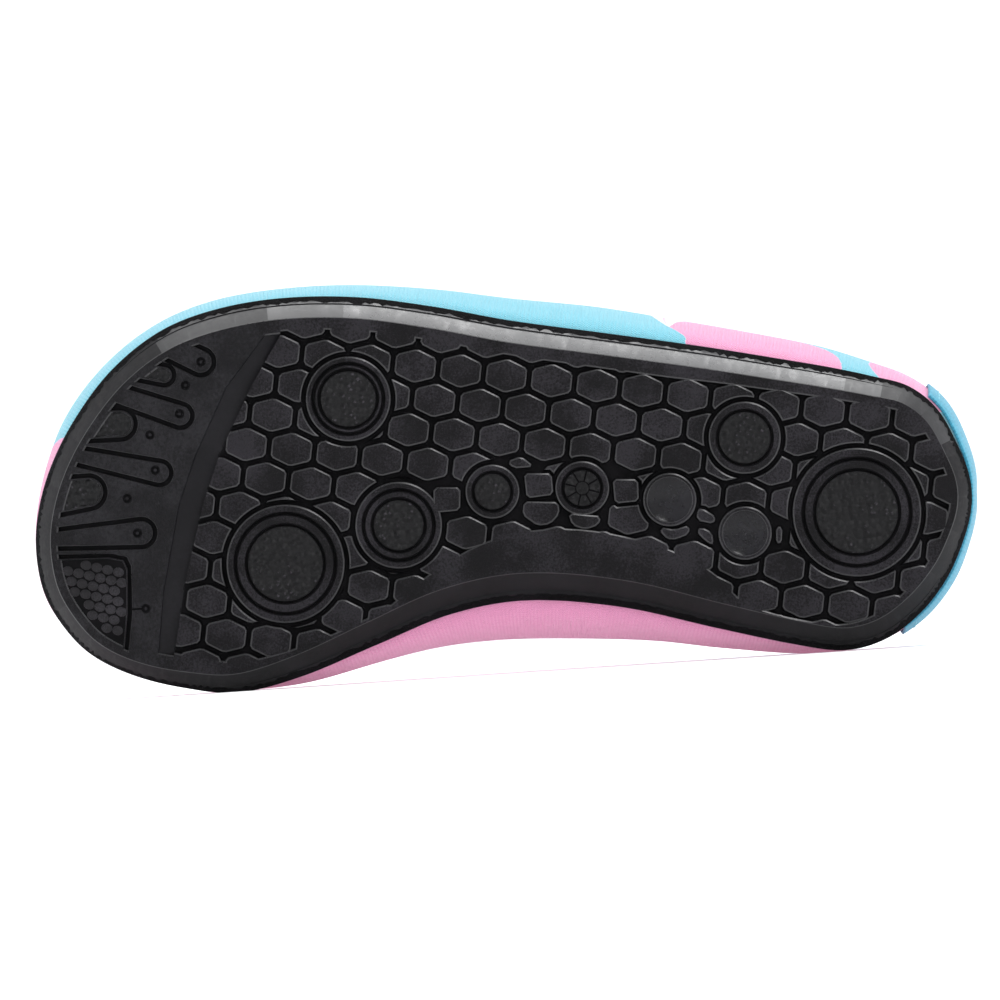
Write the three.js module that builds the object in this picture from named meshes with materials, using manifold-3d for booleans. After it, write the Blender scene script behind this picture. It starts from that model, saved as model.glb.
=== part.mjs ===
// A child's left water shoe, lying empty on its medial side. Millimetres, +Z up.
//
// The shoe is worked out standing on its tread, in the shoe's own frame: x runs from the heel to
// the toe, y to the lateral side and z up from the tread. At the end it is lifted at the toe, laid
// on its side and set down with its toe towards -X and its tread facing -Y.
import * as THREE from 'three';
import Module from 'manifold-3d';

const wasm = await Module();
wasm.setup();

// Sizes of the shoe
const soleLength = 201;
const ballWidth = 83.5;
const instepHeight = 63;
const toeSpring = 15.5;
const wall = 2;
const clearance = 0.3;

// Outsole
const platformHeight = 4;
const lipHeight = 7;
const lipThickness = 1.5;
const flare = 4.7;
const lipRound = 0.3;
const treadDepth = 1.4;
const shallowDepth = 0.8;

// Tread pattern
const lugWidth = 8.3;
const lugLength = 6.95;
const lugShoulder = 3.92;
const lugPitch = 9.73;
const rowPitch = 6.83;
const rowTurn = THREE.MathUtils.degToRad(9.4);
const lugGroove = 1.4;
const barBorder = 3;
const toeBorder = 1.5;
const ringGroove = 0.7;
const fingerGroove = 1.1;

// Collar, insole and heel patch
const hemWidth = 6;
const hemRise = 0.6;
const insoleThickness = 2;
const patchThickness = 0.9;
const patchBottom = 9.5;
const patchTopGap = 1.2;
const patchReach = 11.6;
const patchSlant = 0.16;

// Weight of each piece for its size, in grams per cubic centimetre
const density = { outsole: 1.1, upper: 0.35, insole: 0.2, heel_counter: 0.35 };

// How finely curved forms are cut
const stations = 28;
const ribSteps = 5;
const discSides = 16;
const reach = 400;

const table = (names, rows) =>
  Object.fromEntries(names.map((name, i) => [name, rows.map((row) => row[i])]));

// Plan of the rim and how far the upper bulges past it: shares of the length and the ball width
const plan = table(['along', 'lateral', 'medial', 'lateralBulge', 'medialBulge'], [
  [0.000, 0.036, 0.036, 0.010, 0.010],
  [0.010, 0.144, -0.075, 0.024, 0.014],
  [0.030, 0.247, -0.174, 0.029, 0.017],
  [0.060, 0.314, -0.261, 0.028, 0.014],
  [0.100, 0.347, -0.327, 0.036, 0.005],
  [0.145, 0.376, -0.350, 0.047, 0.004],
  [0.200, 0.406, -0.326, 0.055, 0.028],
  [0.280, 0.448, -0.274, 0.059, 0.050],
  [0.380, 0.495, -0.207, 0.065, 0.086],
  [0.480, 0.541, -0.177, 0.062, 0.098],
  [0.560, 0.587, -0.201, 0.050, 0.083],
  [0.640, 0.622, -0.268, 0.037, 0.050],
  [0.720, 0.631, -0.337, 0.030, 0.019],
  [0.790, 0.613, -0.371, 0.029, -0.004],
  [0.850, 0.568, -0.351, 0.026, -0.003],
  [0.905, 0.478, -0.310, 0.026, 0.000],
  [0.950, 0.353, -0.247, 0.029, 0.002],
  [0.980, 0.228, -0.159, 0.014, 0.003],
  [0.995, 0.122, -0.078, 0.007, 0.004],
  [1.000, 0.024, 0.024, 0.005, 0.005],
]);

// How far the side wall leans out on each side, as shares of the flare
const lean = table(['along', 'lateral', 'medial'], [
  [0.00, 0.68, 0.68],
  [0.05, 0.80, 0.90],
  [0.15, 0.95, 1.02],
  [0.48, 1.00, 1.24],
  [0.70, 0.96, 1.02],
  [0.82, 0.96, 0.80],
  [0.92, 0.84, 0.64],
  [1.00, 0.72, 0.72],
]);

// Crest of the last under the upper: its side shift as a share of the ball width, its height and
// the height of the widest point as shares of the instep height
const crest = table(['along', 'shift', 'height', 'widest'], [
  [0.00, 0.035, 1.20, 0.34],
  [0.15, 0.035, 1.22, 0.36],
  [0.30, 0.080, 1.15, 0.36],
  [0.50, 0.140, 1.01, 0.36],
  [0.65, 0.110, 0.86, 0.35],
  [0.80, 0.075, 0.69, 0.33],
  [0.92, 0.050, 0.58, 0.28],
  [1.00, 0.035, 0.52, 0.24],
]);
const crestHeel = 0.085;
const crestToe = 0.895;

// Lift of the whole shoe off the floor: shares of the length and of the toe spring
const lift = table(['along', 'height'], [
  [0.00, 0.06],
  [0.06, 0.00],
  [0.20, 0.00],
  [0.40, 0.06],
  [0.60, 0.00],
  [0.74, 0.06],
  [0.83, 0.26],
  [0.92, 0.62],
  [1.00, 1.00],
]);

// Side view of the collar's edge: shares of the length and the instep height
const collarRows = [
  [-0.06, 0.92],
  [0.05, 0.82],
  [0.14, 0.72],
  [0.25, 0.68],
  [0.37, 0.76],
  [0.46, 0.90],
  [0.53, 1.06],
  [0.58, 1.30],
];

// Smooth curve through a table's values: a cubic between knots, with slopes from its neighbours
function smooth(knots, values, at) {
  const last = knots.length - 1;
  const slope = (i) => {
    const before = Math.max(i - 1, 0);
    const after = Math.min(i + 1, last);
    return (values[after] - values[before]) / (knots[after] - knots[before]);
  };
  let i = 0;
  while (i < last - 1 && at > knots[i + 1]) i += 1;
  const span = knots[i + 1] - knots[i];
  const t = THREE.MathUtils.clamp((at - knots[i]) / span, 0, 1);
  const rise = 3 * t * t - 2 * t * t * t;
  const bend = t * (1 - t) * span * ((1 - t) * slope(i) - t * slope(i + 1));
  return values[i] * (1 - rise) + values[i + 1] * rise + bend;
}

// The angle that turns a share of the length into even steps round both ends
const angleOf = (along) => Math.acos(1 - 2 * along);
const alongOf = (angle) => (1 - Math.cos(angle)) / 2;
const planAngles = plan.along.map(angleOf);
const onPlan = (name, angle) => ballWidth * smooth(planAngles, plan[name], angle);
const leanAt = (side, angle) => flare * smooth(lean.along, lean[side], alongOf(angle));

// A point on the rim's plan, moved outwards square to the outline
function rimPoint(side, angle, outwards) {
  const step = 1e-3;
  const at = (a) => {
    const within = THREE.MathUtils.clamp(a, 0, Math.PI);
    return new THREE.Vector2(soleLength * alongOf(within), onPlan(side, within));
  };
  const end = angle < step || angle > Math.PI - step;
  const along = at(angle + step).sub(at(angle - step)).normalize();
  const turn = side === 'lateral' ? 1 : -1;
  const across = new THREE.Vector2(-along.y, along.x).multiplyScalar(turn);
  const outward = end ? new THREE.Vector2(Math.sign(angle - 1), 0) : across;
  return at(angle).addScaledVector(outward, outwards);
}

// Stops round the outline: heel to toe on the lateral side, then back on the medial side
const stops = [];
for (let i = 0; i <= stations; i += 1) {
  stops.push({ side: 'lateral', angle: (Math.PI * i) / stations });
}
for (let i = stations - 1; i > 0; i -= 1) {
  stops.push({ side: 'medial', angle: (Math.PI * i) / stations });
}
const mirrorOf = (i) => (stops.length - i) % stops.length;

const ringAt = (outwards, height) => stops.map(({ side, angle }) => {
  const p = rimPoint(side, angle, outwards);
  return new THREE.Vector3(p.x, p.y, height);
});

// A ring on the side wall: a share of its lean inside the rim
const wallRing = (share, height) => stops.map(({ side, angle }) => {
  const p = rimPoint(side, angle, -share * leanAt(side, angle));
  return new THREE.Vector3(p.x, p.y, height);
});

// A closed solid from points and triangles, kept so that it can be joined and cut
function solidOf(points, faces) {
  const vertProperties = new Float32Array(points.flatMap((p) => [p.x, p.y, p.z]));
  const triVerts = new Uint32Array(faces.flat());
  return new wasm.Manifold(new wasm.Mesh({ numProp: 3, vertProperties, triVerts }));
}

// A closed end across a ring, as rungs between the lateral and the medial side
function rungs(first, up) {
  const faces = [];
  for (let i = 0; i < stations; i += 1) {
    const quad = [i, i + 1, mirrorOf(i + 1), mirrorOf(i)].map((k) => first + k);
    const [a, b, c, d] = up ? [...quad].reverse() : quad;
    faces.push([a, b, c], [a, c, d]);
  }
  return faces.filter(([a, b, c]) => a !== b && b !== c && c !== a);
}

// A solid through rings of equal stops, from the underside round to the top
function throughRings(rings) {
  const count = stops.length;
  const faces = rungs(0, false);
  for (let r = 0; r + 1 < rings.length; r += 1) {
    for (let i = 0; i < count; i += 1) {
      const j = (i + 1) % count;
      const [a, b, c, d] = [r * count + i, r * count + j, (r + 1) * count + j, (r + 1) * count + i];
      faces.push([a, c, b], [a, d, c]);
    }
  }
  faces.push(...rungs((rings.length - 1) * count, true));
  return solidOf(rings.flat(), faces);
}

// An upright prism over a flat outline
function prism(outline, bottom, top) {
  const shape = new THREE.Shape(outline.map(([x, y]) => new THREE.Vector2(x, y)));
  const geometry = new THREE.ExtrudeGeometry(shape, { depth: top - bottom, bevelEnabled: false });
  geometry.translate(0, 0, bottom);
  return merged(geometry);
}

// A turned solid about an upright axis
function turned(profile, x, y) {
  const outline = profile.map(([radius, z]) => new THREE.Vector2(radius, z));
  const geometry = new THREE.LatheGeometry(outline, discSides);
  geometry.rotateX(Math.PI / 2);
  geometry.translate(x, y, 0);
  return merged(geometry);
}

// One closed solid from a three.js geometry, whose shared corners are found by their place
function merged(geometry) {
  const position = geometry.getAttribute('position');
  const index = geometry.getIndex();
  const corners = index ? Array.from(index.array) : [...Array(position.count).keys()];
  const places = new Map();
  const points = [];
  const pointOf = (k) => {
    const p = new THREE.Vector3().fromBufferAttribute(position, k);
    const key = p.toArray().map((value) => Math.round(value * 1e4)).join();
    if (!places.has(key)) {
      places.set(key, points.length);
      points.push(p);
    }
    return places.get(key);
  };
  const faces = [];
  for (let k = 0; k < corners.length; k += 3) {
    const face = [pointOf(corners[k]), pointOf(corners[k + 1]), pointOf(corners[k + 2])];
    if (new Set(face).size === 3) faces.push(face);
  }
  return solidOf(points, faces);
}

const joined = (solids) => solids.reduce((all, solid) => all.add(solid));

// The outsole's cup: tread, flared side wall with its step, rounded lip and inner platform
function outsoleBody() {
  return throughRings([
    wallRing(1, 0),
    wallRing(0.93, 0.1 * lipHeight),
    wallRing(0.42, 0.46 * lipHeight),
    wallRing(0.3, 0.5 * lipHeight),
    ringAt(0, 0.84 * lipHeight),
    ringAt(-lipRound, lipHeight),
    ringAt(-lipThickness, lipHeight),
    ringAt(-lipThickness, platformHeight),
  ]);
}

// Plain border between the lug field and the tread's edge, with the smooth band of the arch on
// the medial side: shares of the length and the ball width
const border = table(['along', 'lateral', 'medial'], [
  [0.00, 0.042, 0.042],
  [0.10, 0.048, 0.018],
  [0.25, 0.040, 0.012],
  [0.30, 0.036, 0.078],
  [0.36, 0.034, 0.130],
  [0.44, 0.032, 0.130],
  [0.51, 0.030, 0.095],
  [0.58, 0.030, 0.036],
  [0.62, 0.030, 0.010],
  [0.72, 0.030, 0.016],
  [0.85, 0.030, 0.042],
  [1.00, 0.030, 0.050],
]);

// Front and back edges of the sloping bar across the forefoot: shares of the length and the ball
// width, from the lateral to the medial side
const barRows = table(['across', 'back', 'front'], [
  [0.70, 0.716, 0.728],
  [0.54, 0.724, 0.740],
  [0.41, 0.759, 0.785],
  [0.24, 0.797, 0.822],
  [0.12, 0.817, 0.842],
  [-0.02, 0.834, 0.856],
  [-0.10, 0.843, 0.864],
  [-0.24, 0.855, 0.872],
  [-0.29, 0.860, 0.876],
]);

// Outline of the tread, drawn in by a border
function treadOutline(borderAt) {
  return stops.map(({ side, angle }) => {
    const inwards = leanAt(side, angle) + borderAt(side, alongOf(angle));
    return rimPoint(side, angle, -inwards).toArray();
  });
}

const barEdge = (name) => barRows.across.map((y, i) => [soleLength * barRows[name][i], ballWidth * y]);

// Everything on the heel's side of one of the bar's edges
function behindBar(name, bottom, top) {
  const edge = barEdge(name);
  const corners = [[edge.at(-1)[0], -reach], [-reach, -reach], [-reach, reach], [edge[0][0], reach]];
  return prism([...edge, ...corners].reverse(), bottom, top);
}

// One six-sided lug about a centre, turned with its row
function lugOutline([cx, cy]) {
  const corners = [
    [lugWidth / 2, lugShoulder / 2],
    [0, lugLength / 2],
    [-lugWidth / 2, lugShoulder / 2],
    [-lugWidth / 2, -lugShoulder / 2],
    [0, -lugLength / 2],
    [lugWidth / 2, -lugShoulder / 2],
  ];
  return corners.map(([x, y]) => {
    const p = new THREE.Vector2(x, y).rotateAround(new THREE.Vector2(), rowTurn);
    return [p.x + cx, p.y + cy];
  });
}

// Centres of all lugs: rows that drift to the lateral side, each half a pitch from the next
const lugOrigin = [0.535 * soleLength, 0.418 * ballWidth];

function lugCentres() {
  const columns = Math.ceil(soleLength / lugPitch);
  const rows = Math.ceil((1.6 * ballWidth) / rowPitch);
  const centres = [];
  for (let row = -rows; row <= rows; row += 1) {
    for (let column = -columns; column <= columns; column += 1) {
      const shift = Math.abs(row % 2) / 2;
      const place = new THREE.Vector2((column + shift) * lugPitch, row * rowPitch);
      place.rotateAround(new THREE.Vector2(), rowTurn);
      centres.push([place.x + lugOrigin[0], place.y + lugOrigin[1]]);
    }
  }
  return centres;
}

// Round lugs: centre and radius, then the radius of each fine groove, shares of the length and of
// the ball width
const roundLugs = [
  { along: 0.1243, across: 0.001, radius: 0.1620, grooves: [0.1370, 0.1080] },
  { along: 0.7322, across: -0.048, radius: 0.1490, grooves: [0.1280, 0.0990] },
  { along: 0.6558, across: 0.363, radius: 0.1060, grooves: [0.0740] },
  { along: 0.6100, across: 0.034, radius: 0.1085, grooves: [0.0780] },
  { along: 0.5088, across: 0.106, radius: 0.0668, grooves: [0.0490] },
  { along: 0.4135, across: 0.102, radius: 0.0668, grooves: [0.0490] },
  { along: 0.2386, across: 0.207, radius: 0.0900, grooves: [0.0680] },
];
const domes = [
  { along: 0.3216, across: 0.060, radius: 0.0660 },
  { along: 0.2439, across: -0.036, radius: 0.0660 },
];

const placeOf = ({ along, across }) => [along * soleLength, across * ballWidth];

function disc(place, radius, bottom, top) {
  return turned([[0, bottom], [radius, bottom], [radius, top], [0, top]], ...place);
}

function ringCut(place, radius, depth) {
  const [inner, outer] = [radius - ringGroove / 2, radius + ringGroove / 2];
  return disc(place, outer, -1, depth).subtract(disc(place, inner, -2, depth + 1));
}

// What is taken off a round stud so that a low dome with a rim round it stays
function domeCut(place, radius) {
  const profile = [
    [0, -1],
    [radius + 0.01, -1],
    [radius + 0.01, 0.15],
    [radius - ringGroove, 0.15],
    [radius - ringGroove, 0.5 * treadDepth],
    [0.78 * radius, 0.32 * treadDepth],
    [0.5 * radius, 0.1 * treadDepth],
    [0, 0.02],
  ];
  return turned(profile, ...place);
}

// Grooves of the lug field, from the heel to the bar
function fieldCut() {
  const [bottom, top] = [-1, treadDepth];
  const borderAt = (side, along) => ballWidth * smooth(border.along, border[side], along);
  const zone = prism(treadOutline(borderAt), bottom, top);
  const field = zone.intersect(behindBar('back', bottom - 1, top + 1));
  const rounds = [...roundLugs, ...domes].map((lug) => [placeOf(lug), lug.radius * ballWidth]);
  const [xLow, xHigh] = [-lugPitch, soleLength];
  const near = ([x, y]) => x > xLow && x < xHigh && Math.abs(y) < ballWidth;
  const lugs = joined(lugCentres().filter(near).map((c) => prism(lugOutline(c), bottom - 1, top + 1)));
  const room = joined(rounds.map(([place, r]) => disc(place, r + lugGroove, bottom - 2, top + 2)));
  const studs = joined(rounds.map(([place, r]) => disc(place, r, bottom - 2, top + 2)));
  return field.subtract(lugs.subtract(room)).subtract(studs);
}

// The sloping bar, cut as a shallow channel with its foot at the lug field
function barCut() {
  const zone = prism(treadOutline(() => barBorder), -1, shallowDepth);
  const front = behindBar('front', -2, shallowDepth + 1);
  const back = behindBar('back', -3, shallowDepth + 2);
  return zone.intersect(front.subtract(back));
}

// Fingers under the toes: centre and half width of the tip, then of the root at the sole's edge,
// shares of the length and the ball width
const fingers = table(['tipX', 'tipY', 'tipHalf', 'rootX', 'rootY', 'rootHalf'], [
  [0.810, 0.479, 0.034, 0.848, 0.529, 0.030],
  [0.850, 0.451, 0.026, 0.880, 0.470, 0.026],
  [0.835, 0.345, 0.031, 0.905, 0.412, 0.023],
  [0.900, 0.333, 0.040, 0.930, 0.335, 0.044],
  [0.861, 0.202, 0.031, 0.955, 0.262, 0.017],
  [0.938, 0.163, 0.043, 0.975, 0.156, 0.056],
  [0.884, 0.051, 0.036, 0.985, 0.047, 0.017],
]);
const toePatch = [[0.99, 0.003], [0.919, -0.002], [0.903, -0.012], [0.899, -0.036], [0.901, -0.151],
  [0.908, -0.262], [0.92, -0.4], [1.1, -0.4], [1.1, 0.003]];

// Outline of one finger, a rounded tip on a tapering root, grown by a margin
function fingerOutline(i, margin) {
  const tip = new THREE.Vector2(fingers.tipX[i] * soleLength, fingers.tipY[i] * ballWidth);
  const root = new THREE.Vector2(fingers.rootX[i] * soleLength, fingers.rootY[i] * ballWidth);
  const heading = root.clone().sub(tip).angle();
  const tipHalf = fingers.tipHalf[i] * ballWidth + margin;
  const rootHalf = fingers.rootHalf[i] * ballWidth + margin;
  const sides = 6;
  const outline = [];
  for (let k = 0; k <= sides; k += 1) {
    const turn = heading + Math.PI / 2 + (Math.PI * k) / sides;
    outline.push([tip.x + tipHalf * Math.cos(turn), tip.y + tipHalf * Math.sin(turn)]);
  }
  const onward = new THREE.Vector2(Math.cos(heading), Math.sin(heading)).multiplyScalar(lugPitch);
  for (const way of [-1, 1]) {
    const turn = heading + (way * Math.PI) / 2;
    const [x, y] = [root.x + onward.x, root.y + onward.y];
    outline.push([x + rootHalf * Math.cos(turn), y + rootHalf * Math.sin(turn)]);
  }
  return outline;
}

// Outline of the patch under the big toe, grown by a margin on its inner edges
function patchOutline(margin) {
  const centre = [0.97, -0.15];
  return toePatch.map(([x, y]) => {
    const away = new THREE.Vector2((x - centre[0]) * soleLength, (y - centre[1]) * ballWidth);
    away.setLength(away.length() + margin);
    return [centre[0] * soleLength + away.x, centre[1] * ballWidth + away.y];
  });
}

// Grooves round the fingers and the patch, kept inside the sole's edge
function toeCut() {
  const zone = prism(treadOutline(() => toeBorder), -1, shallowDepth);
  const half = fingerGroove / 2;
  const groove = (outline) => prism(outline(half), -2, shallowDepth + 1)
    .subtract(prism(outline(-half), -3, shallowDepth + 2));
  const grooves = fingers.tipX.map((_, i) => groove((margin) => fingerOutline(i, margin)));
  grooves.push(groove(patchOutline));
  return zone.intersect(joined(grooves));
}

function outsole() {
  const rings = roundLugs.flatMap((lug) =>
    lug.grooves.map((radius) => ringCut(placeOf(lug), radius * ballWidth, shallowDepth)));
  const cups = domes.map((dome) => domeCut(placeOf(dome), dome.radius * ballWidth));
  return outsoleBody()
    .subtract(fieldCut())
    .subtract(barCut())
    .subtract(toeCut())
    .subtract(joined(rings))
    .subtract(joined(cups));
}

// One rib of the upper at a stop, from its edge inside the lip up to the crest, the whole form
// grown square to itself
function rib({ side, angle }, grown) {
  const along = alongOf(angle);
  const edge = rimPoint(side, angle, -lipThickness - clearance + grown);
  const bulge = onPlan(`${side}Bulge`, angle);
  const wide = rimPoint(side, angle, bulge + grown);
  const onCrest = (name, scale) => scale * smooth(crest.along, crest[name], along);
  const widest = onCrest('widest', instepHeight);
  const top = new THREE.Vector3(
    soleLength * (crestHeel + (crestToe - crestHeel) * along),
    onCrest('shift', ballWidth),
    onCrest('height', instepHeight) + grown,
  );
  const seat = platformHeight + clearance;
  const shoulder = lipHeight + clearance - Math.min(grown, 0);
  const points = [[edge, seat], [edge, shoulder]].map(([p, z]) => new THREE.Vector3(p.x, p.y, z));
  for (const share of [0.4, 0.75]) {
    const turn = (share * Math.PI) / 2;
    const p = edge.clone().lerp(wide, Math.sin(turn));
    points.push(new THREE.Vector3(p.x, p.y, shoulder + (widest - shoulder) * (1 - Math.cos(turn))));
  }
  for (let k = 0; k < ribSteps; k += 1) {
    const turn = (Math.PI * k) / (2 * ribSteps);
    const p = new THREE.Vector2(top.x, top.y).lerp(wide, Math.cos(turn) ** 1.15);
    points.push(new THREE.Vector3(p.x, p.y, widest + (top.z - widest) * Math.sin(turn) ** 0.95));
  }
  return { points, top };
}

// The form of the last, grown by an amount, with its underside at a height
function lastForm(grown, underside) {
  const ribs = stops.map((stop) => rib(stop, grown));
  const rows = ribs[0].points.length;
  const points = ribs.flatMap(({ points: own }) => own);
  ribs.forEach((_, i) => points[i * rows].setZ(underside));
  const firstTop = points.length;
  for (let i = 0; i <= stations; i += 1) points.push(ribs[i].top);
  const topOf = (i) => firstTop + Math.min(i, stops.length - i);
  const faces = [];
  for (let i = 0; i < stops.length; i += 1) {
    const j = (i + 1) % stops.length;
    for (let k = 0; k + 1 < rows; k += 1) {
      const [a, b, c, d] = [i * rows + k, j * rows + k, j * rows + k + 1, i * rows + k + 1];
      faces.push([a, c, b], [a, d, c]);
    }
    const [a, b, c, d] = [i * rows + rows - 1, j * rows + rows - 1, topOf(j), topOf(i)];
    faces.push([a, c, b], [a, d, c]);
  }
  for (let i = 0; i < stations; i += 1) {
    const quad = [i, i + 1, mirrorOf(i + 1), mirrorOf(i)].map((k) => k * rows);
    faces.push([quad[0], quad[1], quad[2]], [quad[0], quad[2], quad[3]]);
  }
  return solidOf(points, faces.filter(([a, b, c]) => a !== b && b !== c && c !== a));
}

// Everything above the collar's edge in side view, the edge lowered by an amount
function aboveCollar(lowered, halfWidth) {
  const along = collarRows.map(([x, z]) => new THREE.Vector2(x * soleLength, z * instepHeight));
  const edge = new THREE.SplineCurve(along).getPoints(16);
  const moved = edge.map((p, i) => {
    const before = edge[Math.max(i - 1, 0)];
    const after = edge[Math.min(i + 1, edge.length - 1)];
    const run = after.clone().sub(before).normalize();
    return [p.x + run.y * lowered, p.y - run.x * lowered];
  });
  const side = [...moved, [moved.at(-1)[0], reach], [moved[0][0], reach]];
  const shape = new THREE.Shape(side.map(([x, z]) => new THREE.Vector2(x, z)));
  const geometry = new THREE.ExtrudeGeometry(shape, { depth: 2 * halfWidth, bevelEnabled: false });
  geometry.rotateX(Math.PI / 2);
  geometry.translate(0, halfWidth, 0);
  return merged(geometry);
}

function upper() {
  const outer = lastForm(0, platformHeight + clearance);
  const inner = lastForm(-wall, 0);
  const hem = lastForm(hemRise, platformHeight).intersect(aboveCollar(hemWidth, ballWidth));
  return outer.add(hem).subtract(inner).subtract(aboveCollar(0, 2 * ballWidth));
}

function insole() {
  const edge = -lipThickness - wall - 2 * clearance;
  const bottom = platformHeight + clearance;
  return throughRings([ringAt(edge, bottom), ringAt(edge, bottom + insoleThickness)]);
}

// The patch over the heel: a thin skin of the upper's form behind a slanted front edge
function heelPatch() {
  const skin = lastForm(clearance + patchThickness, 0).subtract(lastForm(clearance, -1));
  const front = [[patchReach - patchSlant * reach, reach], [-reach, reach], [-reach, -reach],
    [patchReach + patchSlant * reach, -reach]];
  const kept = prism(front, patchBottom, instepHeight);
  return skin.intersect(kept).subtract(aboveCollar(hemWidth + patchTopGap, 2 * ballWidth));
}

// Cut a mesh along planes across the length, so that a lift in straight stretches fits it
function splitAcross(points, faces, planes) {
  const near = 0.02;
  let current = faces;
  for (const plane of planes) {
    const cuts = new Map();
    const sideOf = (k) => {
      const off = points[k].x - plane;
      return Math.abs(off) < near ? 0 : Math.sign(off);
    };
    const cutOf = (a, b) => {
      const key = a < b ? `${a},${b}` : `${b},${a}`;
      if (!cuts.has(key)) {
        const [p, q] = a < b ? [points[a], points[b]] : [points[b], points[a]];
        cuts.set(key, points.length);
        points.push(p.clone().lerp(q, (plane - p.x) / (q.x - p.x)));
      }
      return cuts.get(key);
    };
    const next = [];
    for (const face of current) {
      const sides = face.map(sideOf);
      if (!sides.includes(1) || !sides.includes(-1)) {
        next.push(face);
        continue;
      }
      const loop = [];
      face.forEach((k, i) => {
        const after = face[(i + 1) % 3];
        loop.push({ k, side: sides[i] });
        if (sides[i] * sides[(i + 1) % 3] < 0) loop.push({ k: cutOf(k, after), side: 0 });
      });
      for (const way of [-1, 1]) {
        const part = loop.filter(({ side }) => side * way >= 0).map(({ k }) => k);
        for (let i = 1; i + 1 < part.length; i += 1) next.push([part[0], part[i], part[i + 1]]);
      }
    }
    current = next;
  }
  return current;
}

// Height that the lift adds at a place along the shoe, in straight stretches
function liftAt(x) {
  const along = THREE.MathUtils.clamp(x / soleLength, 0, 1);
  let i = 0;
  while (i < lift.along.length - 2 && along > lift.along[i + 1]) i += 1;
  const share = (along - lift.along[i]) / (lift.along[i + 1] - lift.along[i]);
  return toeSpring * THREE.MathUtils.lerp(lift.height[i], lift.height[i + 1], share);
}

// The finished mesh of a solid, with the lift given to it
function liftedMesh(name, solid, look) {
  const { vertProperties, triVerts } = solid.getMesh();
  const points = [];
  for (let k = 0; k < vertProperties.length; k += 3) {
    points.push(new THREE.Vector3(...vertProperties.slice(k, k + 3)));
  }
  let faces = [];
  for (let k = 0; k < triVerts.length; k += 3) faces.push([...triVerts.slice(k, k + 3)]);
  faces = splitAcross(points, faces, lift.along.slice(1, -1).map((share) => share * soleLength));
  points.forEach((p) => p.setZ(p.z + liftAt(p.x)));
  const geometry = new THREE.BufferGeometry().setFromPoints(points);
  geometry.setIndex(faces.flat());
  geometry.computeVertexNormals();
  const mesh = new THREE.Mesh(geometry, new THREE.MeshStandardMaterial(look));
  mesh.name = name;
  return mesh;
}

// Corners of a mesh
function cornersOf(mesh) {
  const position = mesh.geometry.getAttribute('position');
  return [...Array(position.count).keys()].map((k) => new THREE.Vector3().fromBufferAttribute(position, k));
}

// Where the whole shoe's weight acts, from each piece's triangles and density
function balancePoint(meshes) {
  const point = new THREE.Vector3();
  let weight = 0;
  for (const mesh of meshes) {
    const corners = cornersOf(mesh);
    const index = mesh.geometry.getIndex().array;
    for (let k = 0; k < index.length; k += 3) {
      const [a, b, c] = [corners[index[k]], corners[index[k + 1]], corners[index[k + 2]]];
      const share = (density[mesh.name] * a.dot(b.clone().cross(c))) / 6;
      point.addScaledVector(a.clone().add(b).add(c), share / 4);
      weight += share;
    }
  }
  return point.divideScalar(weight);
}

// How the shoe lies on its medial side: the turn on its tread and the tilt of its tread that let
// its weight down as low as its corners allow, found by ever smaller steps
function restAngles(meshes) {
  const corners = meshes.flatMap(cornersOf);
  const weight = balancePoint(meshes);
  const heightOf = (p, turn, tilt) => {
    const across = p.y * Math.cos(turn) + p.x * Math.sin(turn);
    return across * Math.cos(tilt) - p.z * Math.sin(tilt);
  };
  const standing = ({ turn, tilt }) => {
    const lowest = corners.reduce((low, p) => Math.min(low, heightOf(p, turn, tilt)), Infinity);
    return heightOf(weight, turn, tilt) - lowest;
  };
  const ways = [...Array(16).keys()].map((k) => (k * Math.PI) / 8);
  let rest = { turn: 0, tilt: 0 };
  for (let step = THREE.MathUtils.degToRad(2); step > 1e-6;) {
    const tries = ways.map((way) => ({
      turn: rest.turn + step * Math.cos(way),
      tilt: rest.tilt + step * Math.sin(way),
    }));
    const lower = tries.find((next) => standing(next) < standing(rest));
    if (lower) rest = lower;
    else step /= 2;
  }
  return rest;
}

const pieces = {
  outsole: liftedMesh('outsole', outsole(), { color: 0x26252a, roughness: 0.55, metalness: 0 }),
  upper: liftedMesh('upper', upper(), { color: 0x7fd6ea, roughness: 0.85, metalness: 0 }),
  insole: liftedMesh('insole', insole(), { color: 0x3a3a40, roughness: 0.9, metalness: 0 }),
  patch: liftedMesh('heel_counter', heelPatch(), { color: 0x5bb8d0, roughness: 0.8, metalness: 0 }),
};

const shoe = new THREE.Group();
shoe.add(...Object.values(pieces));
const { turn, tilt } = restAngles(Object.values(pieces));
shoe.rotation.set(Math.PI / 2 + tilt, 0, turn);

const laid = new THREE.Group();
laid.add(shoe);
laid.rotation.z = Math.PI;
laid.updateMatrixWorld(true);
const box = new THREE.Box3().setFromObject(laid, true);
const centre = box.getCenter(new THREE.Vector3());
laid.position.set(-centre.x, -centre.y, -box.min.z);

const waterShoe = new THREE.Group();
waterShoe.add(laid);
export default waterShoe;
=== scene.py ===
"""A child's left water shoe, dressed for its picture.

Sizes are in the shoe's own frame, in millimetres: x from heel to toe, y to the lateral side and
z up from the tread. TO_ROW lays the finished meshes on their side, where the frame has the shoe.
"""

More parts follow.
